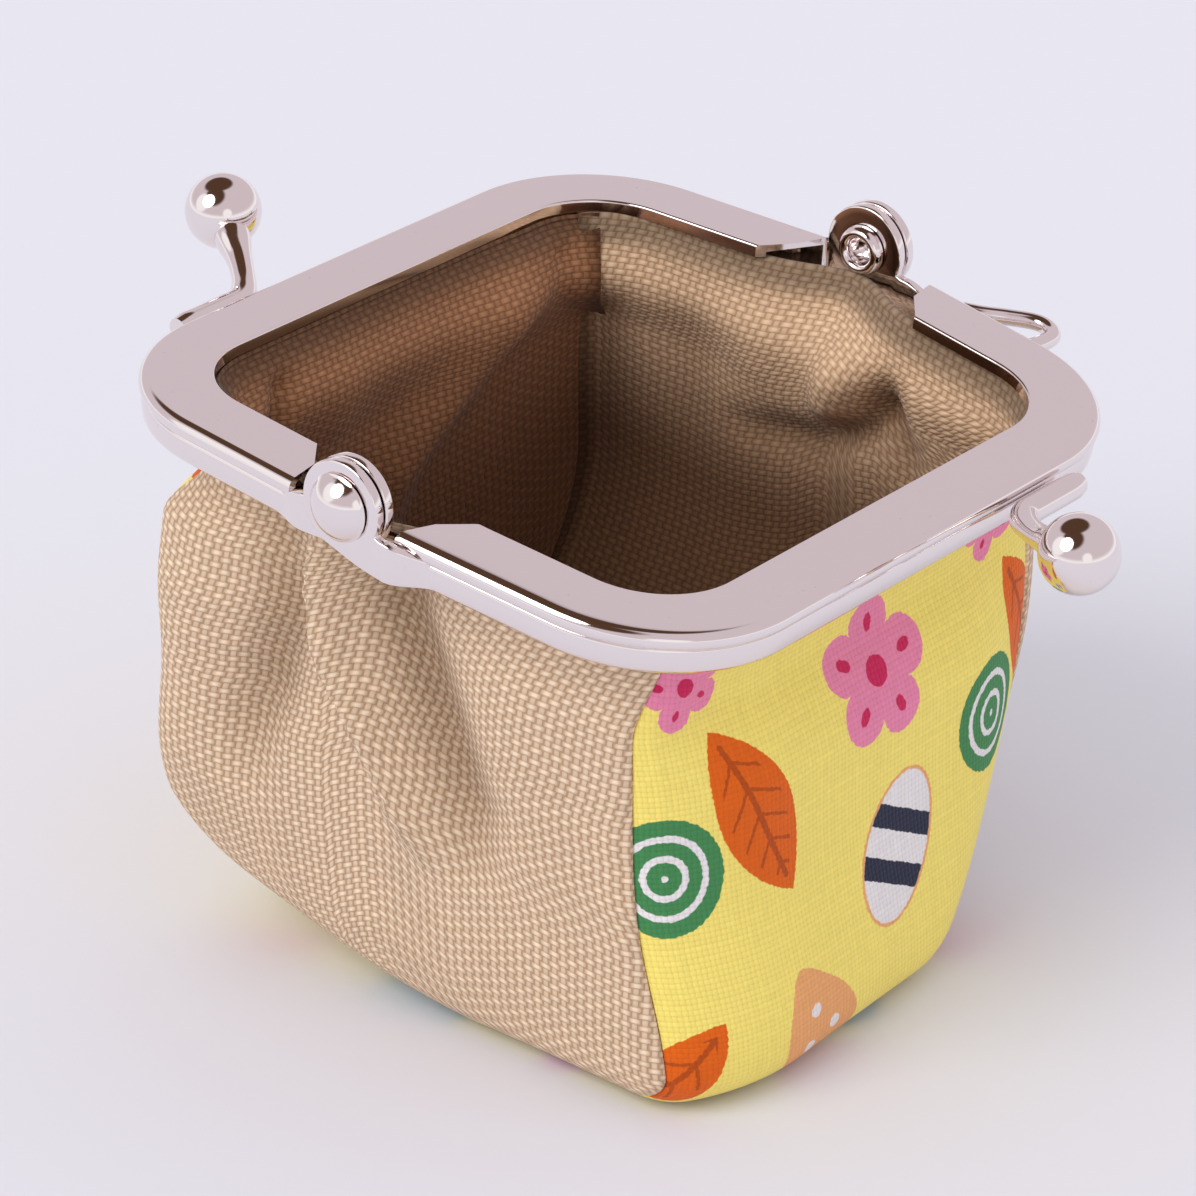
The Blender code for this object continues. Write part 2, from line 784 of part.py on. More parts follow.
def build_pouch(print_cloth, canvas):
    """Outer cloth and lining."""
    lining_inset = cloth_thickness + seat_gap
    strip = mesh_from("outer_strip", lambda work: build_strip(work, 0.0, cloth_thickness))
    add_object("outer_strip", strip, print_cloth)
    strip = mesh_from("lining_strip", lambda work: build_strip(work, lining_inset, lining_thickness))
    add_object("lining_strip", strip, canvas)
    for side, label in ((-1, "left"), (1, "right")):
        mesh = mesh_from(label, lambda work: build_gusset(work, side, 0.0, cloth_thickness))
        add_object(label + "_gusset", mesh, canvas)
        mesh = mesh_from(label, lambda work: build_gusset(work, side, lining_inset, lining_thickness))
        add_object(label + "_gusset_lining", mesh, canvas)


def main():
    """Build the purse."""
    clear_scene()
    plated = make_material("plated_steel", (0.80, 0.77, 0.78), 0.12, 1.0)
    paper = make_material("paper_cord", (0.30, 0.21, 0.14), 0.90, 0.0)
    print_cloth = make_material("yellow_cloth", (0.88, 0.68, 0.20), 0.85, 0.0)
    canvas = make_material("tan_canvas", (0.56, 0.41, 0.24), 0.90, 0.0)
    build_clasp(plated, paper)
    build_rivets(plated)
    build_pouch(print_cloth, canvas)


main()
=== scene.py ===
"""Looks of a boxy coin purse with a snap-lock clasp frame, standing open on a pale studio floor.

Everything is in metres, +Z up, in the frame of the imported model. The hinge line of the clasp runs along X,
the front half of the clasp reaches towards -Y and the rear half towards +Y.
"""

import logging
import math
from dataclasses import dataclass, field
from enum import Enum
from typing import Any, Callable, Sequence

import bmesh
import bpy
import numpy as np
from mathutils import Matrix, Vector


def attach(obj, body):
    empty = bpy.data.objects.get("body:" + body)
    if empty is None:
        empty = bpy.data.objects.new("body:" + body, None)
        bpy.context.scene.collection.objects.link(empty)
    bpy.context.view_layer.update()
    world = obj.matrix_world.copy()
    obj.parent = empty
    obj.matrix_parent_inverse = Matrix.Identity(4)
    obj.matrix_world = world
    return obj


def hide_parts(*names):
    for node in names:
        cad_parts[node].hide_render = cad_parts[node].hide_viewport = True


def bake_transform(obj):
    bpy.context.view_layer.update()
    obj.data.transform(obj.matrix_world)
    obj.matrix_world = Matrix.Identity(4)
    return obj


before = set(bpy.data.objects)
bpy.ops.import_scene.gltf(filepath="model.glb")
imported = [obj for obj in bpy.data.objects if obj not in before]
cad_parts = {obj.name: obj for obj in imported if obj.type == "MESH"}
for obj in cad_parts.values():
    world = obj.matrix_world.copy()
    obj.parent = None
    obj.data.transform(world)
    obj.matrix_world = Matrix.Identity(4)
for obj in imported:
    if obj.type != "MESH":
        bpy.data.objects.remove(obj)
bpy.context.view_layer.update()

log = logging.getLogger("purse")

MM = 0.001
Socket = bpy.types.NodeSocket
Node = bpy.types.Node
Outputs = bpy.types.NodeOutputs
Tree = bpy.types.NodeTree
Groups = dict[str, Tree]
Material = bpy.types.Material
Mesh = bpy.types.Mesh
Work = bmesh.types.BMesh
Thing = bpy.types.Object
Array = np.ndarray
Values = np.ndarray | float
Colour = tuple[float, float, float]
Place = tuple[float, float]
Spot = tuple[float, float, float]
Route = tuple[Spot, ...]


class Side(Enum):
    """The two sides of the pouch, by the sign of X."""

    LEFT = -1
    RIGHT = 1


class Half(Enum):
    """The two halves of the clasp, by the sign of Y."""

    FRONT = -1
    REAR = 1


class Layer(Enum):
    """The two layers of the pouch."""

    OUTER = "outer"
    LINING = "lining"


# Small tools


def tint(red: int, green: int, blue: int) -> Colour:
    """A colour on a screen as the linear values that a shader takes."""
    values = [channel / 255 for channel in (red, green, blue)]
    linear = [v / 12.92 if v <= 0.04045 else ((v + 0.055) / 1.055) ** 2.4 for v in values]
    return linear[0], linear[1], linear[2]


def ease(value: Values) -> Values:
    """Ease from 0 to 1."""
    value = np.clip(value, 0.0, 1.0)
    return value * value * (3 - 2 * value)


def new_object(name: str, mesh: Mesh, sharp_degrees: float = 38.0) -> Thing:
    """Link a mesh to the scene, smooth where it is round.

    Args:
        name: The piece's name.
        mesh: Its finished mesh.
        sharp_degrees: Edges that turn more than this stay sharp.

    Returns:
        The new object.
    """
    mesh.name = name
    mesh.shade_smooth()
    mesh.set_sharp_from_angle(angle=math.radians(sharp_degrees))
    thing = bpy.data.objects.new(name, mesh)
    bpy.context.scene.collection.objects.link(thing)
    return thing


def mesh_from(build: Callable[[Work], None], place: Matrix | None = None) -> Mesh:
    """A mesh filled by a function that takes an empty bmesh, with its faces turned outwards.

    Args:
        build: Adds the geometry.
        place: Where the geometry goes in the model, or None to leave it.

    Returns:
        The new mesh.
    """
    work = bmesh.new()
    build(work)
    bmesh.ops.recalc_face_normals(work, faces=work.faces)
    if place is not None:
        bmesh.ops.transform(work, matrix=place, verts=work.verts)
    mesh = bpy.data.meshes.new("piece")
    work.to_mesh(mesh)
    work.free()
    return mesh


def skin_rings(work: Work, rings: Sequence[Sequence[Vector]], capped: bool = True) -> None:
    """Join rings of points, all with as many points, into one skin.

    Args:
        work: The mesh to add to.
        rings: The rings, in order.
        capped: Whether the first and last ring are closed with a face.
    """
    loops = [[work.verts.new(point) for point in ring] for ring in rings]
    count = len(rings[0])
    for before, after in zip(loops, loops[1:]):
        for k in range(count):
            n = (k + 1) % count
            work.faces.new((before[k], before[n], after[n], after[k]))
    if capped:
        work.faces.new(loops[0])
        work.faces.new(reversed(loops[-1]))


def lathe(work: Work, profile: Sequence[tuple[float, float]], sides: int) -> None:
    """Turn a profile about the X axis.

    Args:
        work: The mesh to add to.
        profile: (x, radius) points; a radius of zero closes an end.
        sides: Steps round the axis.
    """
    loops = []
    for x, radius in profile:
        if radius == 0:
            loops.append([work.verts.new((x, 0, 0))])
            continue
        turns = [2 * math.pi * k / sides for k in range(sides)]
        loops.append([work.verts.new((x, radius * math.cos(a), radius * math.sin(a))) for a in turns])
    for before, after in zip(loops, loops[1:]):
        for k in range(sides):
            n = (k + 1) % sides
            near = [before[k % len(before)], before[n % len(before)]]
            far = [after[n % len(after)], after[k % len(after)]]
            work.faces.new(list(dict.fromkeys(near + far)))


def tube_rings(
    points: Sequence[Vector], radius_at: Callable[[float, float], float], sides: int
) -> list[list[Vector]]:
    """Rings of a tube along points, carried along without twist.

    Args:
        points: The middle line.
        radius_at: The radius at a share of the length and an angle round the tube.
        sides: Points in each ring.

    Returns:
        One ring for each point.
    """
    rings = []
    side = None
    for k, point in enumerate(points):
        ahead = (points[min(k + 1, len(points) - 1)] - points[max(k - 1, 0)]).normalized()
        if side is None:
            side = ahead.orthogonal().normalized()
        side = (side - ahead * side.dot(ahead)).normalized()
        up = ahead.cross(side)
        share = k / (len(points) - 1)
        ring = []
        for j in range(sides):
            angle = 2 * math.pi * j / sides
            radius = radius_at(share, angle)
            ring.append(point + side * (radius * math.cos(angle)) + up * (radius * math.sin(angle)))
        rings.append(ring)
    return rings


def bezier(points: Sequence[Vector], share: float) -> Vector:
    """A point on a Bezier curve.

    Args:
        points: The curve's control points.
        share: From 0 at the first to 1 at the last of them.

    Returns:
        The point.
    """
    level = list(points)
    while len(level) > 1:
        level = [a.lerp(b, share) for a, b in zip(level, level[1:])]
    return level[0]


def smooth_route(points: Sequence[tuple[float, ...]], steps: int) -> list[tuple[float, ...]]:
    """A smooth line through flat or spatial points.

    Args:
        points: The points it passes through.
        steps: Steps between each two of them.

    Returns:
        The finer line.
    """
    route = np.array(points, dtype=float)
    fine = []
    for k in range(len(route) - 1):
        before, a, b, after = route[max(k - 1, 0)], route[k], route[k + 1], route[min(k + 2, len(route) - 1)]
        for t in np.arange(steps) / steps:
            rest = 1 - t
            bend_a, bend_b = a + (b - before) / 6, b - (after - a) / 6
            fine.append(rest ** 3 * a + 3 * rest * rest * t * bend_a + 3 * rest * t * t * bend_b + t ** 3 * b)
    fine.append(route[-1])
    return [tuple(float(value) for value in point) for point in fine]


# Node trees


class Wiring:
    """Adds and links the nodes of one tree."""

    def __init__(self, tree: Tree) -> None:
        """Work on a tree."""
        self.tree = tree

    def add(self, kind: str, inputs: dict[str | int, Any] | None = None, **settings: Any) -> Node:
        """Add a node.

        Args:
            kind: Its type.
            inputs: Values or sockets for its inputs, by name or number.
            settings: Its own settings.

        Returns:
            The node.
        """
        node = self.tree.nodes.new(kind)
        for name, value in settings.items():
            setattr(node, name, value)
        for key, value in (inputs or {}).items():
            self.feed(node.inputs[key], value)
        return node

    def feed(self, target: Socket, value: Any) -> None:
        """Link a socket to an input, or set the input's value.

        Args:
            target: The input.
            value: A socket, a number, a vector or a colour.
        """
        if isinstance(value, Socket):
            self.tree.links.new(value, target)
        elif isinstance(value, tuple) and target.type == "RGBA":
            target.default_value = (*value[:3], 1.0)
        else:
            target.default_value = value

    def math(self, operation: str, *values: Any, clamp: bool = False) -> Socket:
        """The result of a Math node."""
        node = self.add("ShaderNodeMath", dict(enumerate(values)), operation=operation, use_clamp=clamp)
        return node.outputs[0]

    def vector(self, operation: str, *values: Any) -> Socket:
        """The vector result of a Vector Math node."""
        return self.add("ShaderNodeVectorMath", dict(enumerate(values)), operation=operation).outputs[0]

    def split(self, vector: Socket) -> tuple[Socket, Socket, Socket]:
        """The X, Y and Z of a vector."""
        out = self.add("ShaderNodeSeparateXYZ", {0: vector}).outputs
        return out[0], out[1], out[2]

    def join(self, x: Any, y: Any, z: Any = 0.0) -> Socket:
        """A vector from X, Y and Z."""
        return self.add("ShaderNodeCombineXYZ", {0: x, 1: y, 2: z}).outputs[0]

    def ramp(self, value: Socket, low: float, high: float, start: float = 0.0, end: float = 1.0) -> Socket:
        """Ease a value from start at low to end at high."""
        inputs = {0: value, 1: low, 2: high, 3: start, 4: end}
        return self.add("ShaderNodeMapRange", inputs, interpolation_type="SMOOTHSTEP").outputs[0]

    def blend(self, share: Any, first: Any, second: Any, way: str = "MIX") -> Socket:
        """Mix two colours.

        Args:
            share: How much of the second shows.
            first: The colour at a share of 0.
            second: The colour at a share of 1.
            way: The mixing mode.

        Returns:
            The mixed colour.
        """
        node = self.add("ShaderNodeMix", data_type="RGBA", blend_type=way)
        self.feed(node.inputs[0], share)
        self.feed(node.inputs[6], first)
        self.feed(node.inputs[7], second)
        return node.outputs[2]

    def tinted(self, colour: Any, by: Any) -> Socket:
        """A colour multiplied by another."""
        return self.blend(1.0, colour, by, "MULTIPLY")

    def grey(self, value: Socket) -> Socket:
        """A grey of a given value."""
        return self.add("ShaderNodeCombineColor", {0: value, 1: value, 2: value}).outputs[0]

    def noise(self, place: Socket, scale: float, detail: float = 2.0, rough: float = 0.5) -> Socket:
        """The value of a noise texture."""
        inputs = {"Vector": place, "Scale": scale, "Detail": detail, "Roughness": rough}
        return self.add("ShaderNodeTexNoise", inputs).outputs[0]

    def jitter(self, place: Socket, scale: float, detail: float) -> Socket:
        """A random vector, from -0.5 to 0.5 each way."""
        noise = self.add("ShaderNodeTexNoise", {"Vector": place, "Scale": scale, "Detail": detail})
        return self.vector("SUBTRACT", noise.outputs[1], (0.5, 0.5, 0.5))

    def scaled(self, vector: Socket, factor: Any) -> Socket:
        """A vector times a number."""
        return self.add("ShaderNodeVectorMath", {0: vector, "Scale": factor}, operation="SCALE").outputs[0]

    def attribute(self, name: str) -> Socket:
        """The value of a point attribute."""
        return self.add("ShaderNodeAttribute", attribute_name=name).outputs["Fac"]

    def group(self, tree: Tree, inputs: dict[str, Any]) -> Outputs:
        """Place a node group.

        Args:
            tree: The group.
            inputs: Values or sockets for its inputs, by name.

        Returns:
            Its outputs, by name.
        """
        node = self.tree.nodes.new("ShaderNodeGroup")
        node.node_tree = tree
        for key, value in inputs.items():
            self.feed(node.inputs[key], value)
        return node.outputs

    def surface(self, shader: Node, colour: Any, rough: Any, height: Socket, depth: float,
                strength: float) -> None:
        """Feed a Principled shader with what changes over the surface.

        Args:
            shader: The shader.
            colour: Its base colour.
            rough: Its roughness.
            height: The relief, from 0 to 1.
            depth: The relief's full height in metres.
            strength: How strongly the relief shows.
        """
        inputs = {"Height": height, "Distance": depth, "Strength": strength}
        self.feed(shader.inputs["Normal"], self.add("ShaderNodeBump", inputs).outputs[0])
        self.feed(shader.inputs["Base Color"], colour)
        self.feed(shader.inputs["Roughness"], rough)


class GroupPlan:
    """A shader node group under construction."""

    def __init__(self, name: str, inputs: dict[str, tuple[str, Any]], outputs: dict[str, str]) -> None:
        """Make the group and its named sockets.

        Args:
            name: The group's name.
            inputs: For each input its socket type and default value.
            outputs: For each output its socket type.
        """
        self.tree = bpy.data.node_groups.new(name, "ShaderNodeTree")
        for label, (kind, value) in inputs.items():
            socket = self.tree.interface.new_socket(label, in_out="INPUT", socket_type="NodeSocket" + kind)
            if value is not None:
                socket.default_value = value
        for label, kind in outputs.items():
            self.tree.interface.new_socket(label, in_out="OUTPUT", socket_type="NodeSocket" + kind)
        self.wiring = Wiring(self.tree)
        self.given = self.wiring.add("NodeGroupInput").outputs
        self.result = self.wiring.add("NodeGroupOutput").inputs

    def finish(self, **results: Socket) -> Tree:
        """Link the results to the outputs."""
        for label, socket in results.items():
            self.wiring.tree.links.new(socket, self.result[label.replace("_", " ")])
        return self.tree


def plain_weave_group() -> Tree:
    """Threads that pass over and under one another, on cloth coordinates in metres.

    Returns:
        The group; its tone tells the threads apart.
    """
    drift_scale, slub_scale = 420.0, 900.0
    thread_round, thread_level, weft_width = 2.4, 0.36, 0.94
    weft_seed, thread_contrast = 371.5, 0.6
    gap_bottom, gap_top = 0.12, 0.50
    plan = GroupPlan(
        "Plain weave",
        {
            "Cloth place": ("Vector", None),
            "Warp pitch": ("Float", 0.0010),
            "Weft pitch": ("Float", 0.0006),
            "Wander": ("Float", 0.0001),
            "Warp crest": ("Float", 0.5),
            "Weft crest": ("Float", 0.4),
            "Warp width": ("Float", 0.5),
        },
        {"Height": "Float", "Gap": "Float", "Thread tone": "Float"},
    )
    w, given = plan.wiring, plan.given
    drift = w.scaled(w.jitter(given["Cloth place"], drift_scale, 1.0), given["Wander"])
    x, y, _ = w.split(w.vector("ADD", given["Cloth place"], drift))
    u = w.math("DIVIDE", x, given["Warp pitch"])
    v = w.math("DIVIDE", y, given["Weft pitch"])
    warp_number, weft_number = w.math("FLOOR", u), w.math("FLOOR", v)
    across, along = w.math("SUBTRACT", u, warp_number), w.math("SUBTRACT", v, weft_number)
    parity = w.math("FLOORED_MODULO", w.math("ADD", warp_number, weft_number), 2.0)
    sign = w.math("MULTIPLY_ADD", parity, -2.0, 1.0)

    def thread(cross: Socket, length: Socket, side: Socket, crest: Socket, width: Any) -> Socket:
        """Height of one set of threads: round across, wavy along.

        Args:
            cross: From 0 to 1 across the thread.
            length: From 0 to 1 along it, from one crossing to the next.
            side: 1 where the thread is on top and -1 where it is below.
            crest: How high it rises.
            width: How much of its pitch it fills.

        Returns:
            The height.
        """
        offset = w.math("DIVIDE", w.math("ABSOLUTE", w.math("MULTIPLY_ADD", cross, 2.0, -1.0)), width)
        fall = w.math("MULTIPLY_ADD", w.math("POWER", offset, thread_round), -1.0, 1.0)
        round_top = w.math("SQRT", w.math("MAXIMUM", fall, 0.0))
        wave = w.math("COSINE", w.math("MULTIPLY", w.math("SUBTRACT", length, 0.5), math.pi))
        lift = w.math("MULTIPLY", w.math("MULTIPLY", wave, side), crest)
        return w.math("MULTIPLY", round_top, w.math("ADD", lift, thread_level))

    def tone_of(number: Socket) -> Socket:
        """A random tone for each thread."""
        return w.add("ShaderNodeTexWhiteNoise", {"W": number}, noise_dimensions="1D").outputs[0]

    warp = thread(across, along, sign, given["Warp crest"], given["Warp width"])
    weft = thread(along, across, w.math("MULTIPLY", sign, -1.0), given["Weft crest"], weft_width)
    height = w.math("MAXIMUM", warp, weft)
    tones = {
        0: w.math("GREATER_THAN", warp, weft),
        2: tone_of(w.math("ADD", weft_number, weft_seed)),
        3: tone_of(warp_number),
    }
    chosen = w.add("ShaderNodeMix", tones, data_type="FLOAT").outputs[0]
    slub = w.math("SUBTRACT", w.noise(given["Cloth place"], slub_scale, 1.0), 0.5)
    tone = w.math("MULTIPLY_ADD", w.math("SUBTRACT", chosen, 0.5), thread_contrast, slub)
    return plan.finish(Height=height, Gap=w.ramp(height, gap_bottom, gap_top, 1.0, 0.0), Thread_tone=tone)


def handling_group() -> Tree:
    """Faint smudges and specks that handling leaves on a plated surface.

    Returns:
        The group.
    """
    plan = GroupPlan(
        "Handling marks",
        {"Place": ("Vector", None), "Amount": ("Float", 1.0)},
        {"Smudge": "Float", "Speck": "Float", "Waviness": "Float"},
    )
    w, given = plan.wiring, plan.given
    smudge = w.ramp(w.noise(given["Place"], 160.0, 5.0, 0.62), 0.46, 0.78)
    speck = w.ramp(w.noise(given["Place"], 1900.0, 2.0, 0.6), 0.70, 0.78)
    return plan.finish(
        Smudge=w.math("MULTIPLY", smudge, given["Amount"]),
        Speck=w.math("MULTIPLY", speck, given["Amount"]),
        Waviness=w.noise(given["Place"], 95.0, 1.0, 0.4),
    )


def motif_place_group() -> Tree:
    """Where a place on the cloth lies in the nearest repeat of one motif.

    Returns:
        The group, whose lengths are in millimetres.
    """
    ragged_scale, raggedness = 2600.0, (0.22, 0.22, 0.0)
    half_way, flat = (0.5, 0.5, 0.0), (1.0, 1.0, 0.0)
    plan = GroupPlan(
        "Motif place",
        {
            "Cloth place": ("Vector", None),
            "Middle": ("Vector", (0.0, 0.0, 0.0)),
            "Turn": ("Float", 0.0),
            "Repeat": ("Vector", (44.0, 56.0, 1.0)),
        },
        {"Motif place": "Vector", "Radius": "Float", "Angle": "Float"},
    )
    w, given = plan.wiring, plan.given
    ragged = w.vector("MULTIPLY", w.jitter(given["Cloth place"], ragged_scale, 0.0), raggedness)
    place = w.vector("ADD", w.scaled(given["Cloth place"], 1 / MM), ragged)
    shared = w.vector("DIVIDE", w.vector("SUBTRACT", place, given["Middle"]), given["Repeat"])
    centred = w.vector("SUBTRACT", w.vector("FRACTION", w.vector("ADD", shared, half_way)), half_way)
    wrapped = w.vector("MULTIPLY", centred, w.vector("MULTIPLY", given["Repeat"], flat))
    rotation = {"Vector": wrapped, "Angle": given["Turn"]}
    turned = w.add("ShaderNodeVectorRotate", rotation, rotation_type="Z_AXIS").outputs[0]
    x, y, _ = w.split(turned)
    radius = w.add("ShaderNodeVectorMath", {0: w.join(x, y)}, operation="LENGTH").outputs[1]
    return plan.finish(Motif_place=turned, Radius=radius, Angle=w.math("ARCTAN2", y, x))


# Finishes


@dataclass(frozen=True)
class Finish:
    """What every finish has: a name, a material slot of the record and a way to build itself."""

    name: str
    slot: str

    def start(self) -> tuple[Material, Wiring, Node]:
        """Begin the material.

        Returns:
            The material, its wiring and its shader.
        """
        material = bpy.data.materials.new(self.name)
        material.use_nodes = True
        wiring = Wiring(material.node_tree)
        return material, wiring, material.node_tree.nodes["Principled BSDF"]


@dataclass(frozen=True)
class PlatedSteel(Finish):
    """Bright plated steel with faint smudges."""

    name: str = "plated_steel_finish"
    slot: str = "plated_steel"
    colour: Colour = tint(240, 231, 230)
    speck_share: float = 0.86
    roughness: float = 0.07
    smudge_roughness: float = 0.13
    wave: float = 0.00002
    wave_strength: float = 0.5

    def build(self, groups: Groups) -> Material:
        """Wire the material.

        Args:
            groups: The shared node groups.

        Returns:
            The material.
        """
        material, w, shader = self.start()
        place = w.add("ShaderNodeTexCoord").outputs["Object"]
        marks = w.group(groups["handling"], {"Place": place, "Amount": 1.0})
        more = self.smudge_roughness - self.roughness
        rough = w.math("MULTIPLY_ADD", marks["Smudge"], more, self.roughness)
        dull = tuple(channel * self.speck_share for channel in self.colour)
        colour = w.blend(marks["Speck"], self.colour, dull)
        w.surface(shader, colour, rough, marks["Waviness"], self.wave, self.wave_strength)
        shader.inputs["Metallic"].default_value = 1.0
        return material


@dataclass(frozen=True)
class Cloth(Finish):
    """What the woven finishes share: threads, tones and a dull surface with fine fibres."""

    warp_pitch: float = 0.00052
    weft_pitch: float = 0.00052
    wander: float = 0.00010
    warp_crest: float = 0.50
    weft_crest: float = 0.54
    warp_width: float = 0.86
    depth: float = 0.00007
    thread_tone: float = 0.10
    cloud_scale: float = 60.0
    cloud_tone: float = 0.08
    fibre_scale: float = 5200.0
    fibre_stretch: Spot = (1.0, 1.0, 1.0)
    fibre_height: float = 0.25
    roughness: float = 0.76
    fibre_roughness: float = 0.15
    specular: float = 0.22
    sheen: float = 0.10

    def cloth_place(self, w: Wiring) -> Socket:
        """The place on the flat cloth, in metres."""
        return w.add("ShaderNodeUVMap", uv_map="Cloth").outputs[0]

    def weave(self, w: Wiring, groups: Groups, place: Socket) -> Outputs:
        """Place the plain weave with this cloth's threads.

        Args:
            w: The material's wiring.
            groups: The shared node groups.
            place: The place on the flat cloth.

        Returns:
            The weave's outputs, by name.
        """
        inputs = {
            "Cloth place": place,
            "Warp pitch": self.warp_pitch,
            "Weft pitch": self.weft_pitch,
            "Wander": self.wander,
            "Warp crest": self.warp_crest,
            "Weft crest": self.weft_crest,
            "Warp width": self.warp_width,
        }
        return w.group(groups["weave"], inputs)

    def toned(self, w: Wiring, place: Socket, tone: Socket, colour: Socket) -> Socket:
        """Vary a colour from thread to thread and in broad clouds.

        Args:
            w: The material's wiring.
            place: The place on the flat cloth.
            tone: The weave's thread tone.
            colour: The colour to vary.

        Returns:
            The varied colour.
        """
        cloud = w.noise(place, self.cloud_scale, 3.0)
        threads = w.math("MULTIPLY_ADD", tone, self.thread_tone, 1.0)
        clouds = w.math("MULTIPLY_ADD", cloud, self.cloud_tone, 1 - self.cloud_tone / 2)
        return w.tinted(colour, w.grey(w.math("MULTIPLY", threads, clouds)))

    def cover(self, w: Wiring, shader: Node, place: Socket, height: Socket, colour: Socket) -> None:
        """Feed the shader with the colour, the weave's relief and its fibres.

        Args:
            w: The material's wiring.
            shader: The material's shader.
            place: The place on the flat cloth.
            height: The weave's height.
            colour: The finished colour.
        """
        fibre = w.noise(w.vector("MULTIPLY", place, self.fibre_stretch), self.fibre_scale, 2.0)
        relief = w.math("MULTIPLY_ADD", fibre, self.fibre_height, height)
        rough = w.math("MULTIPLY_ADD", fibre, self.fibre_roughness, self.roughness)
        w.surface(shader, colour, rough, relief, self.depth, 1.0)
        shader.inputs["Specular IOR Level"].default_value = self.specular
        shader.inputs["Sheen Weight"].default_value = self.sheen


@dataclass(frozen=True)
class Canvas(Cloth):
    """Heavy plain-woven cotton canvas in one colour."""

    name: str = "tan_canvas_finish"
    slot: str = "tan_canvas"
    # Painted highlight and shade: crest colours the thread tops and hollow the gaps between threads, over the
    # bump.
    crest: Colour = tint(243, 219, 189)
    body: Colour = tint(218, 189, 158)
    hollow: Colour = tint(178, 145, 113)
    # Painted shade in fold hollows, by the Hollow attribute.
    crease_shade: Colour = (0.56, 0.51, 0.46)
    lit_from: float = 0.52
    lit_to: float = 0.94
    gap_share: float = 0.85
    warp_pitch: float = 0.00098
    weft_pitch: float = 0.00058
    wander: float = 0.00016
    warp_crest: float = 0.30
    weft_crest: float = 0.60
    warp_width: float = 0.60
    depth: float = 0.00013
    thread_tone: float = 0.16
    cloud_scale: float = 70.0
    cloud_tone: float = 0.12
    fibre_scale: float = 3200.0
    fibre_stretch: Spot = (1.0, 3.0, 1.0)
    fibre_height: float = 0.22
    roughness: float = 0.80
    sheen: float = 0.12

    def shaded(self, w: Wiring, colour: Socket) -> Socket:
        """The colour with painted shade by its depth in the pouch; on the outside it is the same all over."""
        return colour

    def build(self, groups: Groups) -> Material:
        """Wire the material.

        Args:
            groups: The shared node groups.

        Returns:
            The material.
        """
        material, w, shader = self.start()
        place = self.cloth_place(w)
        weave = self.weave(w, groups, place)
        # Painted highlight on the thread tops and painted shade in the gaps between threads, over the bump.
        colour = w.blend(w.ramp(weave["Height"], self.lit_from, self.lit_to), self.body, self.crest)
        colour = w.blend(w.math("MULTIPLY", weave["Gap"], self.gap_share), colour, self.hollow)
        colour = self.shaded(w, self.toned(w, place, weave["Thread tone"], colour))
        # Painted shade in fold hollows and along the lining seams, by the Hollow attribute.
        colour = w.blend(w.attribute("Hollow"), colour, w.tinted(colour, self.crease_shade))
        self.cover(w, shader, place, weave["Height"], colour)
        return material


@dataclass(frozen=True)
class LiningCanvas(Canvas):
    """The same canvas inside the pouch, with painted shade under the lip, painted light just below it
    (painted shade on the walls) and painted brown shade that deepens towards the bottom.
    """

    name: str = "side_lining_finish"
    # The same painted highlight on thread tops and painted shade in the gaps, a little darker.
    crest: Colour = tint(230, 204, 173)
    body: Colour = tint(211, 182, 151)
    hollow: Colour = tint(180, 148, 117)
    # Painted shade in fold hollows and lining seams; painted shade under the lip, a painted tint of light
    # just below it and painted brown shade deep down.
    crease_shade: Colour = (0.42, 0.36, 0.31)
    lip_shade: float = 0.40
    lip_depth: float = 0.0020
    near_shade: Colour = (1.10, 1.02, 0.95)
    deep_shade: Colour = (0.24, 0.16, 0.11)
    near_depth: float = 0.0040
    deep_depth: float = 0.0290

    def shaded(self, w: Wiring, colour: Socket) -> Socket:
        """Painted light and shade: dark under the lip, full just below it, then browner and darker with
        depth.

        Args:
            w: The material's wiring.
            colour: The colour of the cloth.

        Returns:
            The colour at its depth.
        """
        depth = w.attribute("Depth")
        sunk = w.ramp(depth, self.near_depth, self.deep_depth)
        lip = w.ramp(depth, self.lip_depth, self.near_depth, self.lip_shade, 1.0)
        return w.tinted(w.tinted(colour, w.blend(sunk, self.near_shade, self.deep_shade)), w.grey(lip))


class Ink(Enum):
    """The colours of the print."""

    ORANGE = tint(230, 102, 12)
    DEEP_ORANGE = tint(186, 78, 10)
    PINK = tint(240, 140, 176)
    CRIMSON = tint(208, 36, 92)
    GREEN = tint(70, 140, 84)
    WHITE = tint(238, 234, 236)
    NAVY = tint(42, 46, 68)
    PEACH = tint(240, 172, 112)


class MotifKind(Enum):
    """The kinds of motif."""

    LEAF = "leaf"
    BLOSSOM = "blossom"
    RINGED_DISC = "ringed disc"
    BANDED_OVAL = "banded oval"
    DROP = "drop"


@dataclass(frozen=True)
class Motif:
    """One motif: where it stands on the cloth and its size in millimetres, and its turn in degrees."""

    kind: MotifKind
    across: float
    down: float
    turn: float
    length: float
    width: float = 0.0


Layers = list[tuple[Socket, Ink]]


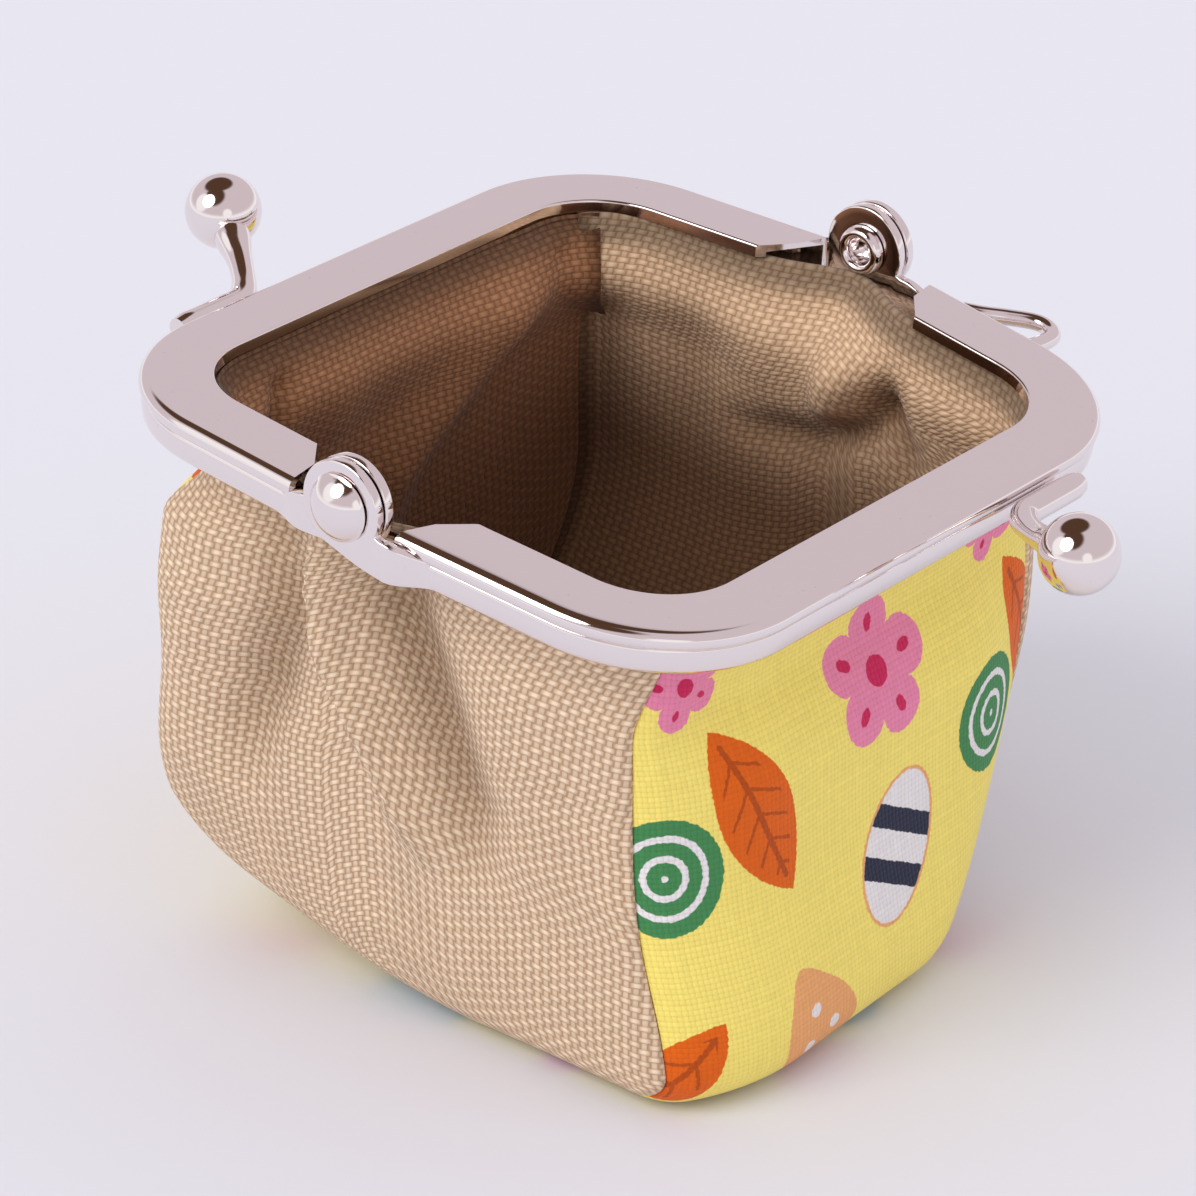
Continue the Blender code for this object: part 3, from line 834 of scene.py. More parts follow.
@dataclass
class MotifDrawing:
    """Draws motifs as layers, each a signed distance in millimetres, below zero inside, and its ink."""

    w: Wiring
    motif: Motif
    x: Socket
    y: Socket
    radius: Socket
    angle: Socket

    def ellipse(self, x: Socket, y: Socket, middle: Place, radii: Place) -> Socket:
        """Signed distance from an ellipse.

        Args:
            x: The place across the motif.
            y: The place along it.
            middle: The ellipse's middle.
            radii: Its two radii.

        Returns:
            The distance.
        """
        w = self.w
        dx = w.math("DIVIDE", w.math("SUBTRACT", x, middle[0]), radii[0])
        dy = w.math("DIVIDE", w.math("SUBTRACT", y, middle[1]), radii[1])
        length = w.math("SQRT", w.math("ADD", w.math("MULTIPLY", dx, dx), w.math("MULTIPLY", dy, dy)))
        return w.math("MULTIPLY", w.math("SUBTRACT", length, 1.0), min(radii))

    def leaf(self) -> Layers:
        """An orange leaf with a darker midrib and side veins.

        Returns:
            Its layers, from below.
        """
        w, length, width = self.w, self.motif.length, self.motif.width
        rib_width, vein_slant, vein_gap, vein_width, margin = 0.30, 0.9, 1.5, 0.22, 1.0
        radius = (length ** 2 + width ** 2) / (4 * width)
        away = radius - width / 2
        sides = [self.ellipse(self.x, self.y, (middle, 0.0), (radius, radius)) for middle in (away, -away)]
        shape = w.math("MAXIMUM", *sides)
        across = w.math("ABSOLUTE", self.x)
        slant = w.math("SUBTRACT", self.y, w.math("MULTIPLY", across, vein_slant))
        vein = w.math("SUBTRACT", w.math("PINGPONG", slant, vein_gap), vein_width)
        lines = w.math("MINIMUM", w.math("SUBTRACT", across, rib_width), vein)
        inner = w.math("MAXIMUM", lines, w.math("ADD", shape, margin))
        return [(shape, Ink.ORANGE), (inner, Ink.DEEP_ORANGE)]

    def blossom(self) -> Layers:
        """A pink blossom of five petals with a crimson heart and a crimson dot on each petal.

        Returns:
            Its layers, from below.
        """
        w, size = self.w, self.motif.length
        petals, petal_round, notch = 5, 0.62, 0.60
        dot_middle, dot_radii, heart_radius = (size * 0.62, 0.0), (size * 0.13, size * 0.08), size * 0.20
        wave = w.math("ABSOLUTE", w.math("COSINE", w.math("MULTIPLY", self.angle, petals / 2)))
        edge = w.math("MULTIPLY_ADD", w.math("POWER", wave, petal_round), size * (1 - notch), size * notch)
        turn = 2 * math.pi / petals
        shifted = w.math("FLOORED_MODULO", w.math("ADD", self.angle, turn / 2), turn)
        petal = w.math("SUBTRACT", shifted, turn / 2)
        x = w.math("MULTIPLY", self.radius, w.math("COSINE", petal))
        y = w.math("MULTIPLY", self.radius, w.math("SINE", petal))
        dots = self.ellipse(x, y, dot_middle, dot_radii)
        heart = w.math("SUBTRACT", self.radius, heart_radius)
        shape = w.math("SUBTRACT", self.radius, edge)
        return [(shape, Ink.PINK), (w.math("MINIMUM", dots, heart), Ink.CRIMSON)]

    def ringed_disc(self) -> Layers:
        """A green disc with white rings.

        Returns:
            Its layers, from below.
        """
        w, size = self.w, self.motif.length
        ring_gap, ring_width, outer_ring = size * 0.17, size * 0.055, size * 0.86
        ring = w.math("SUBTRACT", w.math("PINGPONG", self.radius, ring_gap), ring_width)
        kept = w.math("MAXIMUM", ring, w.math("SUBTRACT", self.radius, outer_ring))
        return [(w.math("SUBTRACT", self.radius, size), Ink.GREEN), (kept, Ink.WHITE)]

    def banded_oval(self) -> Layers:
        """A white oval in a peach outline with two navy bands.

        Returns:
            Its layers, from below.
        """
        w, length, width = self.w, self.motif.length, self.motif.width
        edge, band_middle, band_width = 0.35, length * 0.34, length * 0.15
        outline = self.ellipse(self.x, self.y, (0.0, 0.0), (width + edge, length + edge))
        oval = self.ellipse(self.x, self.y, (0.0, 0.0), (width, length))
        away = w.math("ABSOLUTE", w.math("SUBTRACT", w.math("ABSOLUTE", self.y), band_middle))
        bands = w.math("MAXIMUM", w.math("SUBTRACT", away, band_width), oval)
        return [(outline, Ink.PEACH), (oval, Ink.WHITE), (bands, Ink.NAVY)]

    def drop(self) -> Layers:
        """A peach drop with three white dots.

        Returns:
            Its layers, from below.
        """
        w, size = self.w, self.motif.length
        taper, least, width, dot = 0.5, 0.25, size * 0.72, size * 0.11
        pull = w.math("MAXIMUM", w.math("MULTIPLY_ADD", self.y, -taper / size, 1.0), least)
        across = w.math("DIVIDE", self.x, pull)
        layers = [(self.ellipse(across, self.y, (0.0, 0.0), (width, size)), Ink.PEACH)]
        for x, y in ((-0.28, -0.30), (0.28, -0.30), (0.0, 0.22)):
            layers.append((self.ellipse(self.x, self.y, (x * size, y * size), (dot, dot)), Ink.WHITE))
        return layers

    def layers(self) -> Layers:
        """Draw the motif in the way of its kind.

        Returns:
            Its layers, from below.
        """
        ways = {
            MotifKind.LEAF: self.leaf,
            MotifKind.BLOSSOM: self.blossom,
            MotifKind.RINGED_DISC: self.ringed_disc,
            MotifKind.BANDED_OVAL: self.banded_oval,
            MotifKind.DROP: self.drop,
        }
        return ways[self.motif.kind]()


@dataclass(frozen=True)
class PrintedCotton(Cloth):
    """Yellow plain-woven cotton with a scattered print."""

    name: str = "printed_cotton_finish"
    slot: str = "yellow_cloth"
    ground: Colour = tint(252, 232, 122)
    # Painted shade in the gaps between threads.
    ground_hollow: Colour = tint(226, 186, 74)
    gap_share: float = 0.30
    ink_edge: float = 0.06
    repeat: Spot = (44.0, 54.0, 1.0)
    motifs: tuple[Motif, ...] = (
        Motif(MotifKind.LEAF, -17.5, 20.0, 24.0, 19.0, 8.0),
        Motif(MotifKind.BLOSSOM, 0.5, 13.5, 12.0, 7.0),
        Motif(MotifKind.RINGED_DISC, 17.0, 24.0, 0.0, 5.6),
        Motif(MotifKind.BANDED_OVAL, 1.5, 31.0, -28.0, 7.2, 4.6),
        Motif(MotifKind.DROP, -12.5, 42.5, 200.0, 6.6),
        Motif(MotifKind.LEAF, 15.0, 44.0, -42.0, 15.5, 6.6),
        Motif(MotifKind.BLOSSOM, 20.0, 6.0, 40.0, 4.4),
        Motif(MotifKind.RINGED_DISC, -2.5, 50.5, 0.0, 3.6),
    )

    def drawing(self, w: Wiring, groups: Groups, place: Socket, motif: Motif) -> MotifDrawing:
        """Set out one motif on the cloth.

        Args:
            w: The material's wiring.
            groups: The shared node groups.
            place: The place on the flat cloth.
            motif: The motif.

        Returns:
            Its drawing.
        """
        middle = (motif.across, motif.down, 0.0)
        turn = math.radians(motif.turn)
        inputs = {"Cloth place": place, "Middle": middle, "Turn": turn, "Repeat": self.repeat}
        local = w.group(groups["motif"], inputs)
        x, y, _ = w.split(local["Motif place"])
        return MotifDrawing(w, motif, x, y, local["Radius"], local["Angle"])

    def build(self, groups: Groups) -> Material:
        """Wire the material.

        Args:
            groups: The shared node groups.

        Returns:
            The material.
        """
        material, w, shader = self.start()
        place = self.cloth_place(w)
        weave = self.weave(w, groups, place)
        ink = self.ground
        for motif in self.motifs:
            drawing = self.drawing(w, groups, place, motif)
            for distance, colour in drawing.layers():
                inside = w.ramp(distance, -self.ink_edge, self.ink_edge, 1.0, 0.0)
                ink = w.blend(inside, ink, colour.value)
        colour = self.toned(w, place, weave["Thread tone"], ink)
        # Painted shade in the gaps between threads, over the bump.
        deep = w.tinted(colour, self.ground_hollow)
        colour = w.blend(w.math("MULTIPLY", weave["Gap"], self.gap_share), colour, deep)
        self.cover(w, shader, place, weave["Height"], colour)
        return material


@dataclass(frozen=True)
class PaperCord(Finish):
    """Twisted brown paper cord."""

    name: str = "paper_cord_finish"
    slot: str = "paper_cord"
    light: Colour = tint(150, 112, 80)
    dark: Colour = tint(92, 62, 42)
    grain_scale: float = 2400.0
    depth: float = 0.00006

    def build(self, groups: Groups) -> Material:
        """Wire the material.

        Args:
            groups: The shared node groups; not used.

        Returns:
            The material.
        """
        material, w, shader = self.start()
        grain = w.noise(w.add("ShaderNodeTexCoord").outputs["Object"], self.grain_scale, 4.0, 0.6)
        rough = w.math("MULTIPLY_ADD", grain, 0.12, 0.82)
        w.surface(shader, w.blend(grain, self.dark, self.light), rough, grain, self.depth, 0.8)
        return material


class Look(Enum):
    """The looks that pieces take."""

    STEEL = "steel"
    CANVAS = "canvas"
    SIDE_LINING = "side lining"
    WALL_LINING = "wall lining"
    PRINT = "print"
    CORD = "cord"


class Wardrobe:
    """The finish of each look, with its material built once."""

    def __init__(self, finishes: dict[Look, Finish], groups: Groups) -> None:
        """Build the materials in the finishes' order."""
        self.finishes = finishes
        self.materials = {look: finish.build(groups) for look, finish in finishes.items()}

    def dress(self, thing: Thing, look: Look) -> None:
        """Put a look on a piece."""
        thing.data.materials.clear()
        thing.data.materials.append(self.materials[look])


# Clasp


@dataclass(frozen=True)
class ClaspPlan:
    """Sizes of a clasp half: x along the hinge line, reach away from it, rise above the plane of the half."""

    opening_width: float = 0.0562
    opening_reach: float = 0.0280
    arm_flare: float = 0.0024
    inner_corner_radius: float = 0.0085
    sheet: float = 0.0007
    plate_width: float = 0.0058
    bead_width: float = 0.0009
    bead_depth: float = 0.0009
    crease_inset: float = 0.0003
    rim_height: float = 0.0042
    rim_round: float = 0.0009
    lip_height: float = 0.0012
    lip_round: float = 0.00022
    lower_leaf_setback: float = 0.0010
    axis_rise: float = 0.0009
    seat_gap: float = 0.0003
    ear_thickness: float = 0.0010
    left_ear_face: float = 0.0383
    right_ear_face: float = 0.0373
    hinge_y: float = -0.0026
    hinge_z: float = 0.0544
    front_droop: float = math.radians(8.7)
    rear_rise: float = math.radians(4.4)

    @property
    def half_opening(self) -> float:
        """Half width of the opening at the bar."""
        return self.opening_width / 2

    @property
    def arm_angle(self) -> float:
        """How far the arms spread towards the hinge."""
        return math.atan(self.arm_flare / self.opening_reach)

    @property
    def rim_face(self) -> float:
        """How far the rim's outer face lies from the inner edge."""
        return self.plate_width + self.bead_width - self.crease_inset

    @property
    def corner_x(self) -> float:
        """How far the middle of an inner corner lies from the middle of the clasp."""
        inside = (1 - math.sin(self.arm_angle)) / math.cos(self.arm_angle)
        return self.half_opening - self.inner_corner_radius * inside

    @property
    def corner_reach(self) -> float:
        """The reach at the middle of an inner corner."""
        return self.opening_reach - self.inner_corner_radius

    @property
    def tangent_reach(self) -> float:
        """The reach at which an arm runs into its corner."""
        return self.corner_reach + self.inner_corner_radius * math.sin(self.arm_angle)

    def corner_place(self, share: float, outward: float) -> Place:
        """A place round a corner."""
        angle = self.arm_angle + (math.pi / 2 - self.arm_angle) * share
        radius = self.inner_corner_radius + outward
        return self.corner_x + radius * math.cos(angle), self.corner_reach + radius * math.sin(angle)

    def arm_x(self, reach: float) -> float:
        """Half width of the opening at a reach."""
        return self.half_opening + self.arm_flare * (1 - reach / self.opening_reach)

    def rim_x(self, reach: float) -> float:
        """The rim's outer face on the arms, at a reach."""
        return self.arm_x(reach) + self.rim_face / math.cos(self.arm_angle)

    def stack_face(self, side: Side) -> float:
        """How far the outer ear's face stands from the middle at one end of the hinge line."""
        return self.left_ear_face if side is Side.LEFT else self.right_ear_face

    def ear_face(self, half: Half, side: Side, outer: bool) -> float:
        """How far an ear's outer face stands from the middle."""
        end = side if half is Half.FRONT else Side(-side.value)
        return self.stack_face(end) - (0.0 if outer else self.ear_thickness + self.seat_gap)

    def place(self, half: Half) -> Matrix:
        """Where a half's own frame lies in the model.

        Args:
            half: The clasp half.

        Returns:
            The frame's matrix.
        """
        tilt = self.front_droop if half is Half.FRONT else -self.rear_rise
        turn = 0.0 if half is Half.FRONT else math.pi
        hinge = Matrix.Translation((0, self.hinge_y, self.hinge_z))
        return hinge @ Matrix.Rotation(turn, 4, "Z") @ Matrix.Rotation(tilt, 4, "X")


def half_point(x: float, reach: float, rise: float) -> Vector:
    """A point of a clasp half, in the half's own frame."""
    return Vector((x, -reach, rise))


@dataclass
class ClaspFrame:
    """The folded channel of one half, with its cut arm ends and its two ears."""

    half: Half
    plan: ClaspPlan = field(default_factory=ClaspPlan)
    arm_steps: int = 14
    corner_steps: int = 30
    bar_steps: int = 16
    lip_steps: int = 4
    bead_steps: int = 16
    bead_sweep: float = math.radians(138)
    wall_steps: int = 5
    round_steps: int = 8
    crease_in: float = 0.00006
    crease_drop: float = 0.00014
    wall_bulge: float = 0.00008
    plate_crown: float = 0.00004
    plate_edge_crown: float = 0.00001
    short_cut_reach: float = 0.0102
    short_cut_width: float = 0.0018
    short_cut_end: float = 0.0062
    short_cut_share: float = 0.55
    short_cut_curve: float = 1.6
    long_cut_reach: float = 0.0086
    long_cut_end: float = 0.0050
    long_cut_hollow: float = 0.0009
    cut_tries: int = 12
    ear_radius: float = 0.0042
    ear_edge: float = 0.00020
    lobe_start: float = math.radians(-16)
    lobe_end: float = math.radians(250)
    lobe_steps: int = 56
    neck_steps: int = 5
    neck_straight: float = 0.0092
    neck_level: float = 0.0054
    neck_sink: float = 0.00015
    hole_radius: float = 0.0016
    hole_steps: int = 32
    sharp_turn: float = 1.2
    neck_top: tuple[Place, ...] = (
        (0.0130, -0.0028), (0.0110, -0.00275), (0.0092, -0.0025), (0.0076, -0.0020), (0.0064, -0.00155),
        (0.0054, -0.0013), (0.0046, -0.00128),
    )
    neck_bottom: tuple[Place, ...] = (
        (0.0006, -0.00435), (0.0022, -0.00465), (0.0040, -0.00482), (0.0060, -0.0049), (0.0080, -0.00488),
        (0.0100, -0.00482), (0.0130, -0.00476),
    )

    def section(self) -> list[Place]:
        """The folded sheet in section.

        Returns:
            Its outline as (outward from the inner edge, rise above the top face).
        """
        p = self.plan
        points = [(0.0, -p.lip_height)]
        for k in range(self.lip_steps + 1):
            angle = math.pi / 2 * k / self.lip_steps
            points.append((p.lip_round * (1 - math.cos(angle)), -p.lip_round * (1 - math.sin(angle))))
        points.append((p.lip_round * 1.8, 0.0))
        points.append((p.plate_width * 0.5, self.plate_crown))
        points.append((p.plate_width - p.lip_round * 1.6, self.plate_edge_crown))
        for k in range(self.bead_steps + 1):
            angle = self.bead_sweep * k / self.bead_steps
            fall = p.bead_depth * (1 - math.cos(angle))
            points.append((p.plate_width + p.bead_width * math.sin(angle), -fall))
        out, rim_top = points[-1]
        points.append((out - self.crease_in, rim_top - self.crease_in))
        rim_start = rim_top - self.crease_drop
        points.append((out, rim_start))
        wall = p.rim_height - p.rim_round + rim_top
        for k in range(1, self.wall_steps):
            share = k / self.wall_steps
            points.append((out + self.wall_bulge * math.sin(math.pi * share), rim_start - wall * share))
        for k in range(self.round_steps + 1):
            angle = math.pi / 2 * k / self.round_steps
            outward = out - p.rim_round * (1 - math.cos(angle))
            points.append((outward, -p.rim_height + p.rim_round * (1 - math.sin(angle))))
        leaf, low, half_sheet = p.lower_leaf_setback, -p.rim_height, p.sheet / 2
        points.append((leaf + p.sheet, low))
        for k in range(self.lip_steps + 1):
            angle = math.pi * k / self.lip_steps
            rise = low + half_sheet * (1 - math.cos(angle))
            points.append((leaf + half_sheet * (1 - math.sin(angle)), rise))
        points.append((out - p.sheet, low + p.sheet))
        points.append((out - p.sheet, -p.sheet))
        points.append((p.sheet, -p.sheet))
        points.append((p.sheet, -p.lip_height))
        return points

    def cut_reach(self, x: float, side: Side) -> float:
        """Where the channel stops at a hinge: short at the right, in a long hollow at the left.

        Args:
            x: Distance from the middle of the clasp.
            side: Which arm.

        Returns:
            The reach at which the metal begins.
        """
        p = self.plan
        if side is Side.RIGHT:
            corner = p.arm_x(self.short_cut_reach)
            drop = self.short_cut_reach - self.short_cut_end
            share = max((x - corner) / self.short_cut_width, 0.0)
            if share <= 1:
                return self.short_cut_reach - drop * self.short_cut_share * share ** self.short_cut_curve
            width = p.rim_x(0) - corner - self.short_cut_width + p.rim_face
            beyond = min((x - corner - self.short_cut_width) / width, 1.0)
            fallen = self.short_cut_share + (1 - self.short_cut_share) * beyond
            return self.short_cut_reach - drop * fallen
        corner = p.arm_x(self.long_cut_reach)
        share = min(max((x - corner) / (p.rim_x(0) - corner), 0.0), 1.0)
        drop = self.long_cut_reach - self.long_cut_end
        return self.long_cut_reach - drop * share - self.long_cut_hollow * math.sin(math.pi * share)

    def start_reach(self, outward: float, side: Side) -> float:
        """Where a line along an arm starts at the cut, found step by step.

        Args:
            outward: How far the line lies outside the inner edge.
            side: Which arm.

        Returns:
            The reach on the inner edge.
        """
        p = self.plan
        reach = self.long_cut_reach
        for _ in range(self.cut_tries):
            x = p.arm_x(reach) + outward * math.cos(p.arm_angle)
            reach = self.cut_reach(x, side) - outward * math.sin(p.arm_angle)
        return reach

    def arm_ring(self, section: list[Place], side: Side, share: float) -> list[Vector]:
        """One section on an arm.

        Args:
            section: The folded sheet in section.
            side: Which arm.
            share: From 0 at the cut end to 1 at the corner.

        Returns:
            The section's points.
        """
        p = self.plan
        ring = []
        for outward, rise in section:
            start = self.start_reach(outward, side)
            reach = start + (p.tangent_reach - start) * share
            x = p.arm_x(reach) + outward * math.cos(p.arm_angle)
            reach += outward * math.sin(p.arm_angle)
            ring.append(half_point(side.value * x, reach, rise - p.axis_rise))
        return ring

    def corner_ring(self, section: list[Place], side: Side, share: float) -> list[Vector]:
        """One section on a corner.

        Args:
            section: The folded sheet in section.
            side: Which corner.
            share: From 0 at the arm to 1 at the bar.

        Returns:
            The section's points.
        """
        ring = []
        for outward, rise in section:
            x, reach = self.plan.corner_place(share, outward)
            ring.append(half_point(side.value * x, reach, rise - self.plan.axis_rise))
        return ring

    def rings(self) -> list[list[Vector]]:
        """The section carried round the clasp half.

        Returns:
            Rings from the left arm's cut end to the right arm's.
        """
        p = self.plan
        section = self.section()
        sides = []
        for side in Side:
            arm = [self.arm_ring(section, side, k / self.arm_steps) for k in range(self.arm_steps)]
            corner = [k / self.corner_steps for k in range(self.corner_steps + 1)]
            sides.append(arm + [self.corner_ring(section, side, share) for share in corner])
        bar = []
        for k in range(1, self.bar_steps):
            x = p.corner_x * (2 * k / self.bar_steps - 1)
            places = ((p.opening_reach + outward, rise - p.axis_rise) for outward, rise in section)
            bar.append([half_point(x, reach, rise) for reach, rise in places])
        return sides[0] + bar + sides[1][::-1]

    def ear_outline(self) -> list[Place]:
        """The ear and its neck, seen along the hinge axis.

        Returns:
            The outline as (reach, rise).
        """
        points = smooth_route(self.neck_top, self.neck_steps)
        for k in range(self.lobe_steps + 1):
            angle = self.lobe_start + (self.lobe_end - self.lobe_start) * k / self.lobe_steps
            points.append((self.ear_radius * math.cos(angle), self.ear_radius * math.sin(angle)))
        return points + smooth_route(self.neck_bottom, self.neck_steps)

    def build_ear(self, work: Work, face: float, side: Side) -> None:
        """A flat ear with rolled edges and a rivet hole, its neck bent out to the rim.

        Args:
            work: The mesh to add to.
            face: How far its outer face stands from the middle of the clasp.
            side: Which arm it is on.
        """
        turns = [2 * math.pi * k / self.hole_steps for k in range(self.hole_steps)]
        circle = [(-self.hole_radius * math.cos(a), self.hole_radius * math.sin(a)) for a in turns]
        edges = []
        for line in (self.ear_outline(), circle):
            verts = [work.verts.new((0, -reach, rise)) for reach, rise in line]
            edges += [work.edges.new((a, b)) for a, b in zip(verts, verts[1:] + verts[:1])]
        filled = bmesh.ops.triangle_fill(work, edges=edges, use_beauty=True)
        faces = [item for item in filled["geom"] if isinstance(item, bmesh.types.BMFace)]
        grown = bmesh.ops.extrude_face_region(work, geom=faces)
        far = [item for item in grown["geom"] if isinstance(item, bmesh.types.BMVert)]
        bmesh.ops.translate(work, verts=far, vec=(-self.plan.ear_thickness, 0, 0))
        bmesh.ops.recalc_face_normals(work, faces=work.faces)
        rims = [e for e in work.edges if len(e.link_faces) == 2 and e.calc_face_angle() > self.sharp_turn]
        bmesh.ops.bevel(work, geom=rims, offset=self.ear_edge, segments=3, profile=0.5, affect="EDGES")
        for vert in work.verts:
            reach = -vert.co.y
            along = (reach - self.neck_level) / (self.neck_straight - self.neck_level)
            rim = self.plan.rim_x(reach) - self.neck_sink
            vert.co.x += face + (rim - face) * float(ease(along))
            vert.co.x *= side.value

    def fill(self, work: Work) -> None:
        """Add the channel and both ears.

        Args:
            work: The mesh to add to.
        """
        skin_rings(work, self.rings())
        for side, outer in ((Side.LEFT, True), (Side.RIGHT, False)):
            face = self.plan.ear_face(self.half, side, outer)
            ear = mesh_from(lambda part: self.build_ear(part, face, side))
            work.from_mesh(ear)
            bpy.data.meshes.remove(ear)

    def build(self) -> Thing:
        """Build the frame of this half.

        Returns:
            The piece.
        """
        word = self.half.name.lower()
        thing = new_object(word + "_clasp_frame", mesh_from(self.fill, self.plan.place(self.half)), 32.0)
        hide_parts(word + "_frame")
        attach(thing, word + "_half")
        return thing


@dataclass
class SnapLock:
    """The ball knob of one half on its bent wire."""

    half: Half
    plan: ClaspPlan = field(default_factory=ClaspPlan)
    ball_radius: float = 0.0036
    ball_steps: int = 40
    ball_sides: int = 56
    kiss_gap: float = 0.0004
    front_reach: float = 0.0468
    front_rise: float = 0.0013
    rear_reach: float = 0.0456
    rear_rise: float = 0.0008
    wire_radius: float = 0.00125
    wire_sides: int = 28
    straight_steps: int = 8
    curve_steps: int = 28
    root_x: float = 0.0197
    bend_x: float = 0.0120
    wire_rise: float = -0.0027

    @property
    def centre(self) -> Vector:
        """Middle of the ball."""
        front = self.half is Half.FRONT
        reach, rise = (self.front_reach, self.front_rise) if front else (self.rear_reach, self.rear_rise)
        return half_point(self.ball_radius + self.kiss_gap / 2, reach, rise)

    def wire_line(self) -> list[Vector]:
        """The wire from its root along the rim into the ball.

        Returns:
            Its middle line.
        """
        p = self.plan
        seat = p.opening_reach + p.plate_width + p.bead_width + p.seat_gap + self.wire_radius
        root = half_point(self.root_x, seat, self.wire_rise)
        bend = half_point(self.bend_x, seat, self.wire_rise)
        ball = self.centre
        lean = seat + (-ball.y - seat) / 2
        knee = half_point(self.bend_x - 2 * self.wire_radius, seat, self.wire_rise)
        waist = half_point((knee.x + ball.x) / 2, lean, self.wire_rise / 2)
        straight = [root.lerp(bend, k / self.straight_steps) for k in range(self.straight_steps)]
        shares = [k / self.curve_steps for k in range(self.curve_steps + 1)]
        curve = [bezier((bend, knee, waist, ball), share) for share in shares]
        return straight + [point for point in curve if (point - ball).length > self.ball_radius * 0.7]

    def wire_radius_at(self, share: float, angle: float) -> float:
        """A chamfered cut end at the root, a waist, and a collar where the wire enters the ball.

        Args:
            share: From 0 at the root to 1 at the ball.
            angle: Round the wire; not used, as the wire is the same all round.

        Returns:
            The radius.
        """
        root = 0.80 + 0.20 * min(share / 0.02, 1.0)
        collar = 0.36 * float(ease((share - 0.80) / 0.18))
        waist = -0.10 * float(ease((share - 0.45) / 0.2)) * (1 - float(ease((share - 0.70) / 0.15)))
        return self.wire_radius * (root + collar + waist)

    def build_ball(self, work: Work) -> None:
        """Add the ball.

        Args:
            work: The mesh to add to.
        """
        radius = self.ball_radius
        turns = [math.pi * k / self.ball_steps for k in range(1, self.ball_steps)]
        profile = [(-radius * math.cos(angle), radius * math.sin(angle)) for angle in turns]
        lathe(work, [(-radius, 0), *profile, (radius, 0)], self.ball_sides)
        bmesh.ops.translate(work, verts=work.verts, vec=self.centre)

    def build_wire(self, work: Work) -> None:
        """Add the wire."""
        skin_rings(work, tube_rings(self.wire_line(), self.wire_radius_at, self.wire_sides))

    def build(self) -> list[Thing]:
        """Build the wire and its ball.

        Returns:
            The two pieces.
        """
        word = self.half.name.lower()
        pieces = []
        for label, node, fill in (("wire", "stem", self.build_wire), ("ball", "ball", self.build_ball)):
            thing = new_object(f"{word}_snap_{label}", mesh_from(fill, self.plan.place(self.half)))
            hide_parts(f"{word}_lock_{node}")
            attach(thing, word + "_half")
            pieces.append(thing)
        return pieces


@dataclass
class StrapLoop:
    """Wire bow on the right arm of the front half."""

    plan: ClaspPlan = field(default_factory=ClaspPlan)
    wire_radius: float = 0.0008
    wire_sides: int = 20
    bend_steps: int = 8
    near_reach: float = 0.0106
    far_reach: float = 0.0192
    stand: float = 0.0043
    rise: float = -0.0026
    stand_shares: tuple[Place, ...] = (
        (0.0, 0.0), (0.18, 0.22), (0.42, 0.62), (0.66, 0.96), (0.84, 1.0), (0.98, 0.80), (1.0, 0.42),
        (0.97, 0.0),
    )

    def build(self) -> Thing:
        """Build the loop.

        Returns:
            The piece.
        """
        clear = self.plan.seat_gap + self.wire_radius
        route = []
        for along, out in self.stand_shares:
            reach = self.near_reach + (self.far_reach - self.near_reach) * along
            x = self.plan.rim_x(reach) + clear + self.stand * out
            route.append(tuple(half_point(x, reach, self.rise)))
        points = [Vector(point) for point in smooth_route(route, self.bend_steps)]
        rings = tube_rings(points, lambda share, angle: self.wire_radius, self.wire_sides)
        mesh = mesh_from(lambda work: skin_rings(work, rings), self.plan.place(Half.FRONT))
        thing = new_object("strap_bow", mesh)
        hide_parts("strap_loop")
        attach(thing, "front_half")
        return thing


@dataclass
class CordInChannel:
    """Twisted paper cord pressed into the channel of one half."""

    half: Half
    plan: ClaspPlan = field(default_factory=ClaspPlan)
    radius: float = 0.0010
    inset: float = 0.0024
    end_reach: float = 0.0125
    lay_length: float = 0.0030
    strands: int = 3
    groove: float = 0.10
    sides: int = 18
    arm_steps: int = 16
    corner_steps: int = 24
    bar_steps: int = 90

    def line(self) -> list[Vector]:
        """The middle of the cord, round the inside of the channel.

        Returns:
            Its points from the right arm to the left one.
        """
        p = self.plan
        right = []
        for k in range(self.arm_steps):
            reach = self.end_reach + (p.tangent_reach - self.end_reach) * k / self.arm_steps
            right.append((p.arm_x(reach) + self.inset, reach))
        right += [p.corner_place(k / self.corner_steps, self.inset) for k in range(self.corner_steps + 1)]
        shares = [1 - 2 * k / self.bar_steps for k in range(1, self.bar_steps)]
        bar = [(p.corner_x * share, p.opening_reach + self.inset) for share in shares]
        path = right + bar + [(-x, reach) for x, reach in right[::-1]]
        return [half_point(x, reach, -p.axis_rise - p.rim_height / 2) for x, reach in path]

    def build(self) -> Thing:
        """Build the cord.

        Returns:
            The piece.
        """
        points = self.line()
        length = sum((b - a).length for a, b in zip(points, points[1:]))

        def radius_at(share: float, angle: float) -> float:
            """Strands that wind round the cord."""
            turn = 2 * math.pi * share * length / self.lay_length
            return self.radius * (1 - self.groove + self.groove * math.cos(self.strands * angle + turn))

        rings = tube_rings(points, radius_at, self.sides)
        word = self.half.name.lower()
        mesh = mesh_from(lambda work: skin_rings(work, rings), self.plan.place(self.half))
        thing = new_object(word + "_channel_cord", mesh)
        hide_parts(word + "_paper_cord")
        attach(thing, word + "_half")
        return thing


